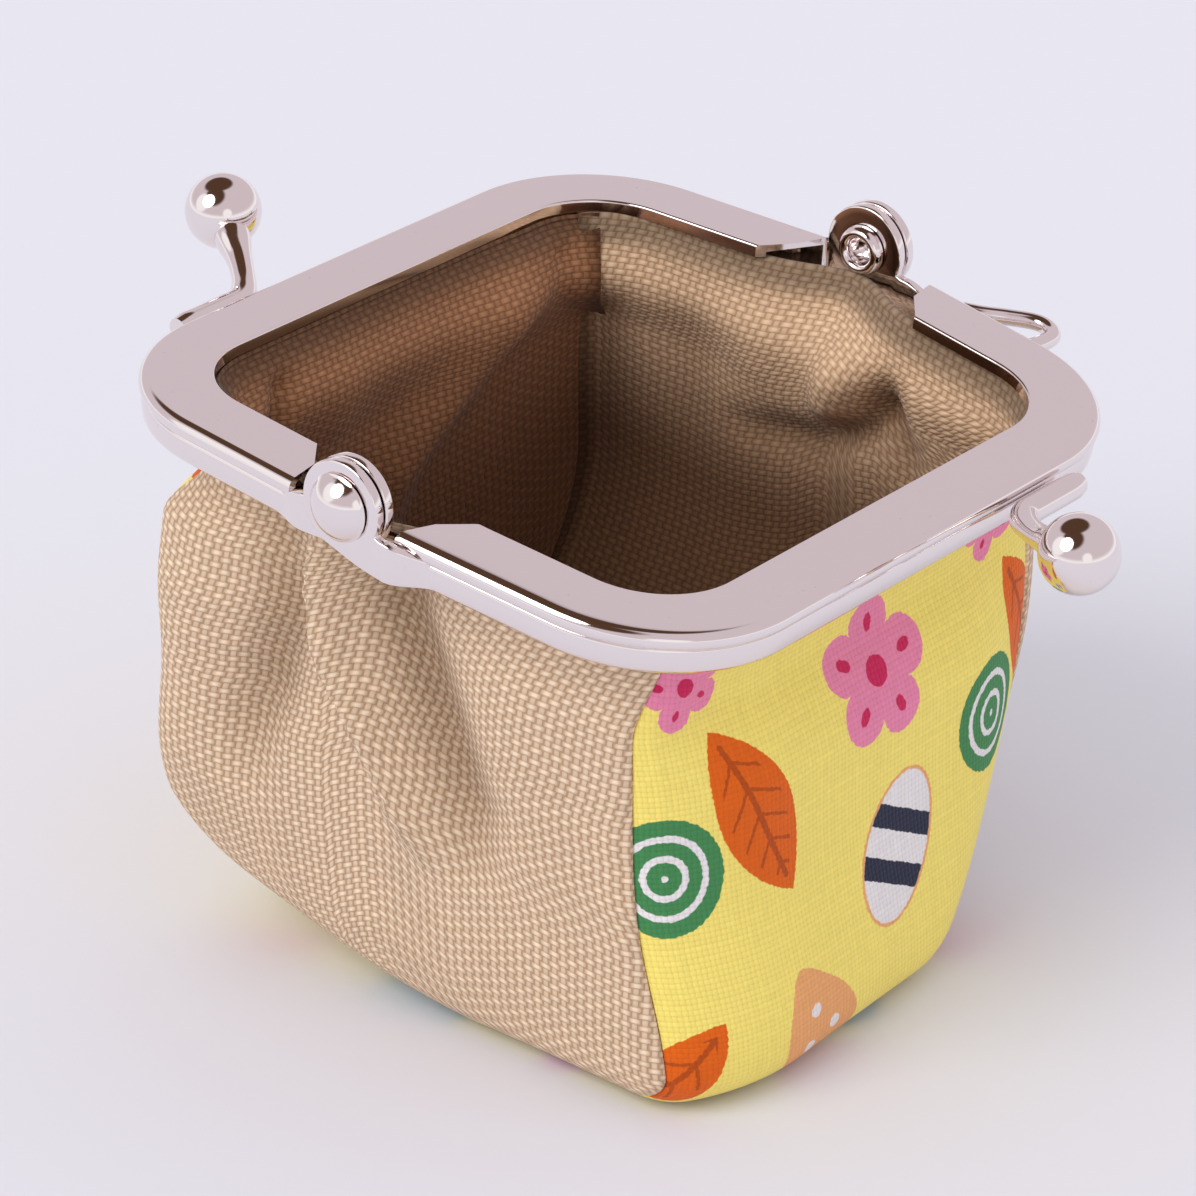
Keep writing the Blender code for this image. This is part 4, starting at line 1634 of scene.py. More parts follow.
@dataclass
class HingeRivet:
    """Tubular rivet: a domed head outside, a rolled end inside."""

    side: Side
    plan: ClaspPlan = field(default_factory=ClaspPlan)
    sides: int = 48
    shank_radius: float = 0.0013
    head_radius: float = 0.0031
    head_height: float = 0.0018
    head_edge: float = 0.00016
    head_steps: int = 24
    rolled_radius: float = 0.0024
    rolled_thickness: float = 0.0010
    rolled_steps: int = 12
    bore_radius: float = 0.0012
    bore_depth: float = 0.0012
    bore_shares: tuple[Place, ...] = ((0.6, 0.86), (0.8, 0.5), (0.62, 0.2), (0.6, 0.0))

    def profile(self) -> list[Place]:
        """The rivet in section for the left hinge, from the crown of its head inwards.

        Returns:
            The outline as (x, radius).
        """
        gap = self.plan.seat_gap
        face, sheet = self.plan.stack_face(self.side), self.plan.ear_thickness
        base = -(face + gap * 0.4)
        end_seat = -(face - 2 * sheet - gap * 1.4)
        sphere = (self.head_radius ** 2 + self.head_height ** 2) / (2 * self.head_height)
        dome = math.asin(self.head_radius / sphere)
        points = []
        for k in range(self.head_steps - 1):
            angle = dome * k / self.head_steps
            level = base - self.head_height + sphere * (1 - math.cos(angle))
            points.append((level, sphere * math.sin(angle)))
        edge = self.head_edge
        points += [(base - edge, self.head_radius), (base - edge * 0.3, self.head_radius - edge * 0.3)]
        points += [(base, self.head_radius - edge), (base, self.shank_radius)]
        points += [(end_seat, self.shank_radius), (end_seat, self.rolled_radius - edge)]
        mid = (self.rolled_radius + self.bore_radius) / 2
        half_width = (self.rolled_radius - self.bore_radius) / 2
        for k in range(self.rolled_steps + 1):
            angle = math.pi * k / self.rolled_steps
            rolled = end_seat + self.rolled_thickness * math.sin(angle)
            points.append((rolled, mid + half_width * math.cos(angle)))
        depth, radius = self.bore_depth, self.bore_radius
        bore = [(end_seat - depth * deep, radius * wide) for deep, wide in self.bore_shares]
        return points + bore

    def build(self) -> Thing:
        """Build the rivet.

        Returns:
            The piece.
        """
        turn = 0.0 if self.side is Side.LEFT else math.pi
        place = Matrix.Translation((0, self.plan.hinge_y, self.plan.hinge_z)) @ Matrix.Rotation(turn, 4, "Z")
        word = self.side.name.lower()
        mesh = mesh_from(lambda work: lathe(work, self.profile(), self.sides), place)
        thing = new_object(word + "_rivet", mesh, 40.0)
        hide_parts(word + "_hinge_rivet")
        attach(thing, "pouch")
        return thing


# Pouch


@dataclass(frozen=True)
class Fold:
    """A soft ridge or hollow of a panel, along a line of (across, up, share of its height) places."""

    route: Route
    height: float
    low_width: float
    high_width: float

    def lift(self, across: Array, up: Array) -> Array:
        """How far it lifts the cloth.

        Args:
            across: Places across the panel.
            up: Their heights.

        Returns:
            The lift at each place.
        """
        nearest = np.full(across.shape, np.inf)
        result = np.zeros(across.shape)
        for (ax, az, start), (bx, bz, end) in zip(self.route, self.route[1:]):
            dx, dz = bx - ax, bz - az
            share = np.clip(((across - ax) * dx + (up - az) * dz) / (dx * dx + dz * dz), 0, 1)
            away = np.hypot(across - ax - share * dx, up - az - share * dz)
            side = (across - ax) * dz - (up - az) * dx
            width = np.where(side < 0, self.low_width, self.high_width)
            value = self.height * (start + (end - start) * share) * np.exp(-((away / width) ** 2))
            closer = away < nearest
            result = np.where(closer, value, result)
            nearest = np.minimum(nearest, away)
        return result


def crease(points: Sequence[Spot], height: float, low: float, high: float) -> Fold:
    """A fold whose places, height and widths are given in millimetres."""
    route = tuple((a * MM, z * MM, share) for a, z, share in points)
    return Fold(route, height * MM, low * MM, high * MM)


@dataclass(frozen=True)
class Puff:
    """A place where the filled cloth stands proud: its middle, how far it reaches each way and its push."""

    middle: Spot
    reach: Spot
    push: Spot


@dataclass(frozen=True)
class PouchPlan:
    """Sizes of the pouch and how its cloth has settled."""

    clasp: ClaspPlan = field(default_factory=ClaspPlan)
    mouth_gap: float = 0.0004
    mouth_height: float = 0.0535
    front_width: float = 0.0576
    rear_width: float = 0.0610
    body_depth: float = 0.0538
    front_base_radius: float = 0.0040
    rear_base_radius: float = 0.0080
    seam_radius: float = 0.0032
    neck_seam_radius: float = 0.0081
    neck_depth: float = 0.0054
    shoulder_depth: float = 0.0080
    front_belly: float = 0.0050
    rear_belly: float = 0.0015
    side_belly: float = 0.0008
    crown_flat_share: float = 0.50
    cloth: float = 0.0010
    shown_sheet: float = 0.00035
    lift_height: float = 0.0450
    rear_lift: float = 0.0100
    right_lift: float = 0.0035
    front_toe: float = 0.0015
    tuck_height: float = 0.0250
    tuck_width: float = 0.0220
    right_tuck: float = 0.0120
    left_tuck: float = 0.0010
    edge_rise: float = 0.0004
    front_flat_share: float = 0.63
    rear_flat_share: float = 0.44
    lip_tuck: float = 0.0012
    lip_tuck_start: float = 0.0034
    lip_tuck_fade: float = 0.0046
    lining_tuck: float = 0.0011
    lining_tuck_fade: float = 0.0018
    outer_start: float = 0.0030
    lining_start: float = 0.0012
    hinge_push: float = 0.0028
    hinge_push_width: float = 0.0052
    narrowing_start_share: float = 0.10
    narrowing_end_share: float = 0.70
    lift_start_share: float = 0.30
    lift_curve_share: float = 1.65
    plain_wrap: float = math.radians(45)
    left_rear_wrap: float = math.radians(64)
    right_front_wrap: float = math.radians(76)
    puffs: tuple[Puff, ...] = (
        Puff((-0.031, 0.024, 0.036), (0.016, 0.011, 0.0070), (-0.0014, 0.0002, 0.0)),
        Puff((-0.031, 0.026, 0.020), (0.016, 0.014, 0.0090), (-0.0022, 0.0004, 0.0)),
        Puff((0.030, -0.026, 0.031), (0.012, 0.014, 0.0120), (0.0022, -0.0002, 0.0)),
        Puff((-0.010, -0.030, 0.007), (0.020, 0.010, 0.0080), (0.0, -0.0016, 0.0)),
        Puff((-0.027, -0.027, 0.004), (0.012, 0.012, 0.0120), (-0.0010, -0.0024, 0.0)),
    )

    def cloth_top(self, y: Values) -> Values:
        """Height of the cloth's top edge."""
        away = y - self.clasp.hinge_y
        slope = np.where(away < 0, math.tan(self.clasp.front_droop), math.tan(self.clasp.rear_rise))
        return self.mouth_height - self.clasp.sheet + away * slope

    def mouth_y(self, half: Half) -> float:
        """Where the cloth stands inside the bar of a half."""
        tilt = self.clasp.front_droop if half is Half.FRONT else self.clasp.rear_rise
        return self.clasp.hinge_y + half.value * (self.clasp.opening_reach * math.cos(tilt) - self.mouth_gap)

    def neck_share(self, below_top: Values) -> Values:
        """1 inside the clasp's opening, easing to 0 below its shoulder."""
        return 1 - ease((below_top - self.neck_depth) / self.shoulder_depth)

    def back_share(self, y: Values) -> Values:
        """0 at the front wall and 1 at the rear one."""
        return np.clip(y / self.body_depth + 0.5, 0.0, 1.0)

    def half_width(self, below_top: Values, y: Values) -> Values:
        """Half width of the pouch at its seams."""
        neck = self.neck_share(below_top)
        body = (self.front_width + (self.rear_width - self.front_width) * self.back_share(y)) / 2
        return neck * (self.clasp.half_opening - self.mouth_gap) + (1 - neck) * body

    def corner_radius(self, below_top: Values) -> Values:
        """Radius of the pouch's upright corners."""
        neck = self.neck_share(below_top)
        return neck * self.neck_seam_radius + (1 - neck) * self.seam_radius

    def wrap(self, side: Side, back: Values, below_top: Array) -> Array:
        """How far round its corners a side panel reaches, as an angle from its own face.

        Args:
            side: Which side.
            back: 0 at the front corner and 1 at the rear one.
            below_top: Depths below the top edge.

        Returns:
            The angles.
        """
        front = self.right_front_wrap if side is Side.RIGHT else self.plain_wrap
        rear = self.left_rear_wrap if side is Side.LEFT else self.plain_wrap
        full = front + (rear - front) * back
        return self.plain_wrap + (full - self.plain_wrap) * (1 - self.neck_share(below_top))

    def layer_depth(self, layer: Layer) -> float:
        """How deep a layer's face lies inside the pouch's outer face where nothing tucks it."""
        return 0.0 if layer is Layer.OUTER else self.cloth + self.clasp.seat_gap

    def inset(self, layer: Layer, below_top: Array) -> Array:
        """How deep a layer's face lies inside the pouch; near the top both layers reach out under the lip.

        Args:
            layer: Which layer.
            below_top: Depths below the top edge.

        Returns:
            The depth inside the pouch's outer face.
        """
        tuck = self.lip_tuck * (1 - ease((below_top - self.lip_tuck_start) / self.lip_tuck_fade))
        if layer is Layer.LINING:
            tuck += self.lining_tuck * (1 - ease((below_top - self.lining_start) / self.lining_tuck_fade))
        return self.layer_depth(layer) - tuck

    def puff(self, points: Array) -> Array:
        """Push out the places where the filled cloth stands proud, all layers alike.

        Args:
            points: Places on the pouch.

        Returns:
            The same places pushed out.
        """
        result = points.copy()
        for puff in self.puffs:
            away = (((points - np.array(puff.middle)) / np.array(puff.reach)) ** 2).sum(axis=-1)
            result += np.exp(-away)[..., None] * np.array(puff.push)
        return result

    def base_radius(self, half: Half) -> float:
        """Radius between the base and a wall."""
        return self.front_base_radius if half is Half.FRONT else self.rear_base_radius

    def settle(self, points: Array, layer: Layer) -> Array:
        """Lift and tuck the lower cloth, as it stands clear of the floor at the rear and at the right.

        Args:
            points: Places on a layer of the boxy pouch.
            layer: Which layer; both move alike at their own base, so that they stay apart.

        Returns:
            The same places on the settled pouch.
        """
        x, y, z = points[..., 0], points[..., 1], points[..., 2]
        rise = np.maximum(z - self.layer_depth(layer), 0.0)
        low = np.maximum(1 - rise / self.lift_height, 0.0)
        tuck_low = np.maximum(1 - rise / self.tuck_height, 0.0) ** 2
        across = 2 * x / self.front_width
        along = 2 * y / self.body_depth
        narrowing_length = self.narrowing_end_share - self.narrowing_start_share
        narrowing = np.clip((along - self.narrowing_start_share) / narrowing_length, 0, 1)
        flat = self.front_flat_share + (self.rear_flat_share - self.front_flat_share) * narrowing
        outward = np.clip((np.abs(across) - flat) / (1 - flat), 0.0, 1.0)
        rearward = np.clip((along + self.lift_start_share) / (1 + self.lift_start_share), 0, 1)
        rearward = rearward ** self.lift_curve_share
        lift = self.edge_rise * outward + self.rear_lift * outward ** 2 * rearward
        lift = lift + np.where(across > 0, self.right_lift * outward ** 2 * (1 - rearward), 0.0)
        share = np.clip(x / self.tuck_width, -1.0, 1.0)
        share = (3 * share - share ** 3) / 2
        tuck = np.where(share > 0, self.right_tuck, self.left_tuck) * share
        toe = self.front_toe * tuck_low * np.maximum(-along, 0.0)
        return self.puff(np.stack([x - tuck_low * tuck, y - toe, z + low * lift], axis=-1))


@dataclass
class PanelGrid:
    """A panel's points in rows and columns, with what the cloth is like there.

    Attributes:
        points: The points.
        flat: Their places on the flat cloth.
        depth: Their depths below the top edge.
        hollow: From 0 to 1, how deep in a fold's hollow or along a lining seam they lie; the mask of painted
            shade.
    """

    points: Array
    flat: Array
    depth: Array
    hollow: Array

    def changed(self, change: Callable[[Array], Array]) -> "PanelGrid":
        """The same change made to each of the four."""
        return PanelGrid(*(change(whole) for whole in (self.points, self.flat, self.depth, self.hollow)))

    def part(self, rows: slice, columns: slice) -> "PanelGrid":
        """Some of the rows and columns."""
        return self.changed(lambda whole: whole[rows, columns])

    def turned(self) -> "PanelGrid":
        """Rows and columns exchanged."""
        return self.changed(lambda whole: whole.swapaxes(0, 1))


@dataclass
class PouchForm:
    """The surfaces of the pouch, as grids of points with their places on the flat cloth."""

    plan: PouchPlan = field(default_factory=PouchPlan)
    neck_rows: int = 7
    shoulder_rows: int = 12
    wall_rows: int = 44
    arc_rows: int = 9
    base_rows: int = 26
    columns: int = 72
    curl: float = 0.00042
    curl_steps: int = 4
    curl_turn: float = math.pi / 2 * 1.15
    seam_clear: float = 0.00032
    lining_lap: float = 0.00090
    seam_shade_width: float = 0.0009
    seam_ridge: float = 0.00015
    seam_ridge_width: float = 0.0026
    full_hollow: float = 0.0028
    fold_start: float = 0.0015
    push_start: float = 0.0010
    wall_edge_power: int = 6
    side_edge_power: int = 14

    def wall_line(self, half: Half, layer: Layer) -> Array:
        """One wall from its top edge to the edge of the base.

        Args:
            half: Which wall.
            layer: Which layer, as the lining reaches higher.

        Returns:
            Rows of y, z, depth below the top edge and share of the belly.
        """
        p = self.plan
        top_y = p.mouth_y(half)
        top = float(p.cloth_top(top_y))
        radius = p.base_radius(half)
        start = p.neck_depth + p.shoulder_depth
        first = p.outer_start if layer is Layer.OUTER else p.lining_start
        drops = list(np.linspace(first, p.neck_depth, self.neck_rows, endpoint=False))
        drops += list(np.linspace(p.neck_depth, start, self.shoulder_rows, endpoint=False))
        drops += list(np.linspace(start, top - radius, self.wall_rows, endpoint=False))
        line = []
        for drop in drops:
            neck = float(p.neck_share(drop))
            swell = float(ease((drop - p.neck_depth) / (2 * p.shoulder_depth)))
            line.append((neck * top_y + (1 - neck) * half.value * p.body_depth / 2, top - drop, drop, swell))
        for k in range(self.arc_rows + 1):
            angle = math.pi / 2 * k / self.arc_rows
            y = half.value * (p.body_depth / 2 - radius * (1 - math.cos(angle)))
            z = radius * (1 - math.sin(angle))
            line.append((y, z, top - z, 1.0))
        return np.array(line)

    def strip_line(self, layer: Layer) -> Array:
        """The strip in section from the front's top edge under the base to the rear's.

        Args:
            layer: Which layer.

        Returns:
            Rows of y, z, depth below the top edge and belly.
        """
        front, rear = self.wall_line(Half.FRONT, layer), self.wall_line(Half.REAR, layer)
        front[:, 3] *= -self.plan.front_belly
        rear[:, 3] *= self.plan.rear_belly
        share = np.arange(1, self.base_rows)[:, None] / self.base_rows
        base = front[-1] + (rear[-1] - front[-1]) * share
        base[:, 1] = 0.0
        base[:, 2] = front[-1, 2]
        return np.concatenate([front, base, rear[::-1]])

    @staticmethod
    def normals(line: Array) -> Array:
        """Outward normals of the strip's section."""
        along = np.gradient(line[:, :2], axis=0)
        along /= np.linalg.norm(along, axis=1)[:, None]
        return np.stack([along[:, 1], -along[:, 0]], axis=1)

    @staticmethod
    def corner_depth(radius: Array, inside: Array) -> Array:
        """How far a rounded corner falls back."""
        radius = np.maximum(radius, 0.0001)
        over = np.clip(radius - inside, 0.0, radius)
        return radius - np.sqrt(np.maximum(radius ** 2 - over ** 2, 0.0))

    def strip_grid(self, layer: Layer, folds: dict[Half, tuple[Fold, ...]]) -> PanelGrid:
        """Front, base and back in one strip of cloth.

        Args:
            layer: Which layer.
            folds: The folds of its front and rear wall.

        Returns:
            The strip's grid.
        """
        p = self.plan
        line = self.strip_line(layer)
        normals = self.normals(line)
        y, z, depth, belly = (line[:, k][:, None] for k in range(4))
        inset = p.inset(layer, depth)
        radius = p.corner_radius(depth) - inset
        width = p.half_width(depth, y) - inset
        ends = []
        for side in Side:
            wrapped = p.wrap(side, p.back_share(y), depth)
            ends.append(width - (1 - np.cos(wrapped)) * radius - self.clear(layer) * np.sin(wrapped))
        across = np.sin(math.pi / 2 * np.linspace(-1, 1, self.columns + 1))[None, :]
        x = np.where(across < 0, ends[0] * across, ends[1] * across)
        out = -self.corner_depth(radius, width - np.abs(x)) - inset
        edge = np.maximum(np.abs(across) - p.crown_flat_share, 0.0) / (1 - p.crown_flat_share)
        crown = belly * (1 - edge ** 2)
        folded = np.zeros_like(x)
        start = p.body_depth / 8
        for half in Half:
            share = ease((half.value * y - start) / start) * ease(z / p.front_base_radius)
            lift = sum((fold.lift(x, z + 0 * x) for fold in folds[half]), np.zeros_like(x))
            lift = share * lift * (1 - np.abs(across) ** self.wall_edge_power)
            crown = crown + half.value * lift
            folded = folded + lift
        places = (x, y + crown + normals[:, 0:1] * out, z + normals[:, 1:2] * out)
        grid = p.settle(np.stack(np.broadcast_arrays(*places), axis=-1), layer)
        near = np.where(x < 0, x + ends[0], ends[1] - x)
        return PanelGrid(grid, self.flattened(grid, True), depth + 0 * x, self.hollow(layer, folded, near))

    def clear(self, layer: Layer) -> float:
        """How far a panel stays back from its seam line; the lining's panels lap instead."""
        return self.seam_clear if layer is Layer.OUTER else -self.lining_lap

    def hollow(self, layer: Layer, lift: Array, seam: Array) -> Array:
        """How deep in a hollow or in a lining seam each place lies, as seen from the layer's open side: the
        mask of painted shade.

        Args:
            layer: Which layer.
            lift: How far folds lift each place outwards.
            seam: How far each place lies from the nearest seam.

        Returns:
            Values from 0 to 1.
        """
        if layer is Layer.OUTER:
            return np.clip(-lift / self.full_hollow, 0.0, 1.0)
        folded = np.clip(lift / self.full_hollow, 0.0, 1.0)
        return np.maximum(folded, np.exp(-((seam / self.seam_shade_width) ** 2)))

    @staticmethod
    def lengths(grid: Array, axis: int) -> Array:
        """Lengths along the rows (axis 1) or down the columns (axis 0), from the first point of each."""
        steps = np.cumsum(np.linalg.norm(np.diff(grid, axis=axis), axis=2), axis=axis)
        return np.pad(steps, ((1, 0), (0, 0)) if axis == 0 else ((0, 0), (1, 0)))

    def flattened(self, grid: Array, even: bool) -> Array:
        """Places on the flat cloth: across the rows from the middle, and down the columns from the top.

        Args:
            grid: The points.
            even: Whether each row keeps one mean length down, so that a print isn't skewed.

        Returns:
            Two lengths for each point.
        """
        across, down = self.lengths(grid, 1), self.lengths(grid, 0)
        across -= across[:, across.shape[1] // 2][:, None]
        if even:
            down = down.mean(axis=1, keepdims=True) + np.zeros_like(across)
        return np.stack([across, down], axis=-1)

    def side_swell(self, y: Array, z: Array, depth: Array, across: Array) -> Array:
        """How far a side stands out past its seams.

        It follows the arms above, is a little full below and meets the base in a straight seam.

        Args:
            y: The places' y.
            z: Their heights.
            depth: Their depths below the top edge.
            across: Their shares of the way from the front seam to the rear one.

        Returns:
            How far each place stands out.
        """
        p = self.plan
        neck = p.neck_share(depth)
        hinge_share = np.maximum(1 - np.abs(y - p.clasp.hinge_y) / p.clasp.opening_reach, 0.0)
        full = ease(z / (2 * p.front_base_radius)) * p.side_belly * np.sin(math.pi * across)
        return neck * p.clasp.arm_flare * hinge_share + (1 - neck) * full

    def side_ends(self, side: Side, layer: Layer, half: Half) -> Array:
        """The seam line between a side and one wall.

        Args:
            side: Which side.
            layer: Which layer.
            half: Which wall.

        Returns:
            Rows of y and z, from the top edge to the base.
        """
        p = self.plan
        wall = self.wall_line(half, layer)
        normals = self.normals(self.strip_line(layer))[::-half.value][:len(wall)]
        depth = wall[:, 2]
        inset = p.inset(layer, depth)
        wrapped = p.wrap(side, 0.0 if half is Half.FRONT else 1.0, depth)
        clear = self.clear(layer) * np.cos(wrapped)
        radius = p.corner_radius(depth) - inset
        return wall[:, :2] - normals * (inset + clear + (1 - np.sin(wrapped)) * radius)[:, None]

    def fold_lift(self, y: Array, z: Array, depth: Array, across: Array, folds: tuple[Fold, ...]) -> Array:
        """How far the folds of a side lift it, fading out at the panel's edges.

        Args:
            y: The places' y.
            z: Their heights.
            depth: Their depths below the top edge.
            across: Their shares of the way from the front seam to the rear one.
            folds: The folds.

        Returns:
            The lift at each place.
        """
        p = self.plan
        lift = sum((fold.lift(y, z) for fold in folds), np.zeros_like(y))
        edge = 1 - np.abs(2 * across - 1) ** self.side_edge_power
        top = ease((depth - self.fold_start) / (1.3 * p.neck_depth))
        return lift * edge * top * ease(z / (3 * p.front_base_radius))

    def side_grid(self, side: Side, layer: Layer, folds: tuple[Fold, ...]) -> PanelGrid:
        """One side of the pouch, from its top edge to the edge of the base.

        Args:
            side: Which side.
            layer: Which layer.
            folds: The folds of this side.

        Returns:
            The side's grid.
        """
        p = self.plan
        line = self.strip_line(layer)
        section = line[:, :2] - self.normals(line) * p.inset(layer, line[:, 2:3])
        front, rear = (self.side_ends(side, layer, half) for half in Half)
        across = (1 - np.cos(math.pi * np.linspace(0, 1, self.columns + 1)))[None, :] / 2
        y = front[:, 0:1] * (1 - across) + rear[:, 0:1] * across
        level = front[:, 1:2] * (1 - across) + rear[:, 1:2] * across
        drop = self.wall_line(Half.FRONT, layer)[:, 2:3]
        fade = 1 - ease(drop / (2 * (p.neck_depth + p.shoulder_depth)))
        mouths = [p.mouth_y(half) for half in Half]
        tops = [float(p.cloth_top(mouth)) for mouth in mouths]
        share = np.clip((y - mouths[0]) / (mouths[1] - mouths[0]), 0.0, 1.0)
        z = level + (p.cloth_top(y) - (tops[0] + (tops[1] - tops[0]) * share)) * fade
        depth = np.maximum(p.cloth_top(y) - z, 0.0)
        inset = p.inset(layer, depth)
        fallen = self.corner_depth(p.corner_radius(depth) - inset, self.distance_to(section, y, level))
        x = p.half_width(depth, y) - inset - fallen + self.side_swell(y, z, depth, across)
        lift = self.fold_lift(y, z, depth, across, folds)
        gather = np.exp(-(((y - p.clasp.hinge_y) / p.hinge_push_width) ** 2))
        gather = gather * (1 - ease((depth - self.push_start) / (1.6 * p.neck_depth)))
        x = x + lift + p.hinge_push * gather
        near = np.minimum(y - y[:, :1], y[:, -1:] - y)
        if layer is Layer.OUTER:
            x = x + self.seam_ridge * (1 - ease(near / self.seam_ridge_width))
        grid = p.settle(np.stack([side.value * x, y, z], axis=-1), layer)
        return PanelGrid(grid, self.flattened(grid, False), depth, self.hollow(layer, lift, near))

    @staticmethod
    def distance_to(points: Array, y: Array, z: Array) -> Array:
        """Distance of each place from a line.

        Args:
            points: The line's points as rows of y and z.
            y: The places' y.
            z: Their heights.

        Returns:
            The distances.
        """
        best = np.full(y.shape, np.inf)
        for a, b in zip(points, points[1:]):
            along = b - a
            share = np.clip(((y - a[0]) * along[0] + (z - a[1]) * along[1]) / (along @ along), 0.0, 1.0)
            best = np.minimum(best, np.hypot(y - a[0] - share * along[0], z - a[1] - share * along[1]))
        return best

    def curl_lines(self, panel: PanelGrid, column: int, facing: Vector, turn_in: bool) -> list[PanelGrid]:
        """The lines that turn one border column of a panel away from its face.

        Args:
            panel: The panel.
            column: 0 for the first column or -1 for the last.
            facing: Roughly which way its outer face looks.
            turn_in: Whether the edge turns into the pouch, or out of it.

        Returns:
            Grids of one column each, from the panel outwards.
        """
        neighbour = 1 if column == 0 else -2
        edge = panel.points[:, column]
        along = np.gradient(panel.points, axis=0)[:, column]
        tangent = self.unit(edge - panel.points[:, neighbour])
        normal = self.unit(np.cross(tangent, along))
        middle = normal[len(normal) // 3]
        normal *= math.copysign(1.0, float(middle @ np.array(facing))) * (-1 if turn_in else 1)
        step = self.unit(panel.flat[:, column] - panel.flat[:, neighbour])
        lines = []
        for k in range(1, self.curl_steps + 1):
            angle = self.curl_turn * k / self.curl_steps
            away = tangent * math.sin(angle) + normal * (1 - math.cos(angle))
            place = panel.flat[:, column] + step * self.curl * angle
            parts = (edge + away * self.curl, place, panel.depth[:, column], panel.hollow[:, column])
            lines.append(PanelGrid(*parts).changed(lambda whole: whole[:, None]))
        return lines

    @staticmethod
    def unit(vectors: Array) -> Array:
        """Rows made one long."""
        return vectors / np.maximum(np.linalg.norm(vectors, axis=1), 1e-9)[:, None]

    def curled(self, panel: PanelGrid, facing: Vector, turn_in: bool, columns: bool,
               last: bool = True) -> PanelGrid:
        """Add lines that turn the first and last row or column of a panel away from its face.

        Args:
            panel: The panel.
            facing: Roughly which way its outer face looks.
            turn_in: Whether the edges turn into the pouch, or out of it.
            columns: Whether to turn the columns or the rows.
            last: Whether to turn the last one too.

        Returns:
            The larger panel.
        """
        if not columns:
            return self.curled(panel.turned(), facing, turn_in, True, last).turned()
        grids = self.curl_lines(panel, 0, facing, turn_in)[::-1] + [panel]
        if last:
            grids += self.curl_lines(panel, -1, facing, turn_in)
        wholes = zip(*((grid.points, grid.flat, grid.depth, grid.hollow) for grid in grids))
        return PanelGrid(*(np.concatenate(whole, axis=1) for whole in wholes))


@dataclass
class ClothPanel:
    """One sewn panel as a thick sheet."""

    name: str
    panel: PanelGrid
    thickness: float
    facing: Vector

    def build(self) -> Thing:
        """Build a sheet with its outer face on the grid and its thickness inside it.

        Returns:
            The piece.
        """
        grid = self.panel.points
        rows, columns = grid.shape[:2]
        index = np.arange(rows * columns).reshape(rows, columns)
        corners = np.stack([index[:-1, :-1], index[:-1, 1:], index[1:, 1:], index[1:, :-1]], axis=-1)
        corners = corners.reshape(-1, 4)
        middle = grid[rows // 3, columns // 2]
        step_a = grid[rows // 3, columns // 2 + 1] - middle
        step_b = grid[rows // 3 + 1, columns // 2] - middle
        if np.dot(np.cross(step_a, step_b), np.array(self.facing)) < 0:
            corners = corners[:, ::-1]
        mesh = bpy.data.meshes.new(self.name)
        mesh.from_pydata(grid.reshape(-1, 3).tolist(), [], corners.tolist())
        flat = self.panel.flat.reshape(-1, 2)[corners.reshape(-1)]
        mesh.uv_layers.new(name="Cloth").data.foreach_set("uv", flat.astype(np.float32).reshape(-1))
        for label, values in (("Depth", self.panel.depth), ("Hollow", self.panel.hollow)):
            attribute = mesh.attributes.new(label, "FLOAT", "POINT")
            attribute.data.foreach_set("value", values.reshape(-1).astype(np.float32))
        thing = new_object(self.name, mesh, 180.0)
        self.sharpen_border(mesh)
        sheet = thing.modifiers.new("thickness", "SOLIDIFY")
        sheet.thickness = self.thickness
        sheet.offset = -1.0
        sheet.use_even_offset = False
        return thing

    @staticmethod
    def sharpen_border(mesh: Mesh) -> None:
        """Mark the border sharp, so that neighbouring pieces of one cloth meet without a shaded line.

        Args:
            mesh: The panel's mesh.
        """
        sharp = mesh.attributes.get("sharp_edge") or mesh.attributes.new("sharp_edge", "BOOLEAN", "EDGE")
        counts = np.zeros(len(mesh.edges), dtype=int)
        of_loop = np.empty(len(mesh.loops), dtype=np.int32)
        mesh.loops.foreach_get("edge_index", of_loop)
        np.add.at(counts, of_loop, 1)
        sharp.data.foreach_set("value", counts == 1)


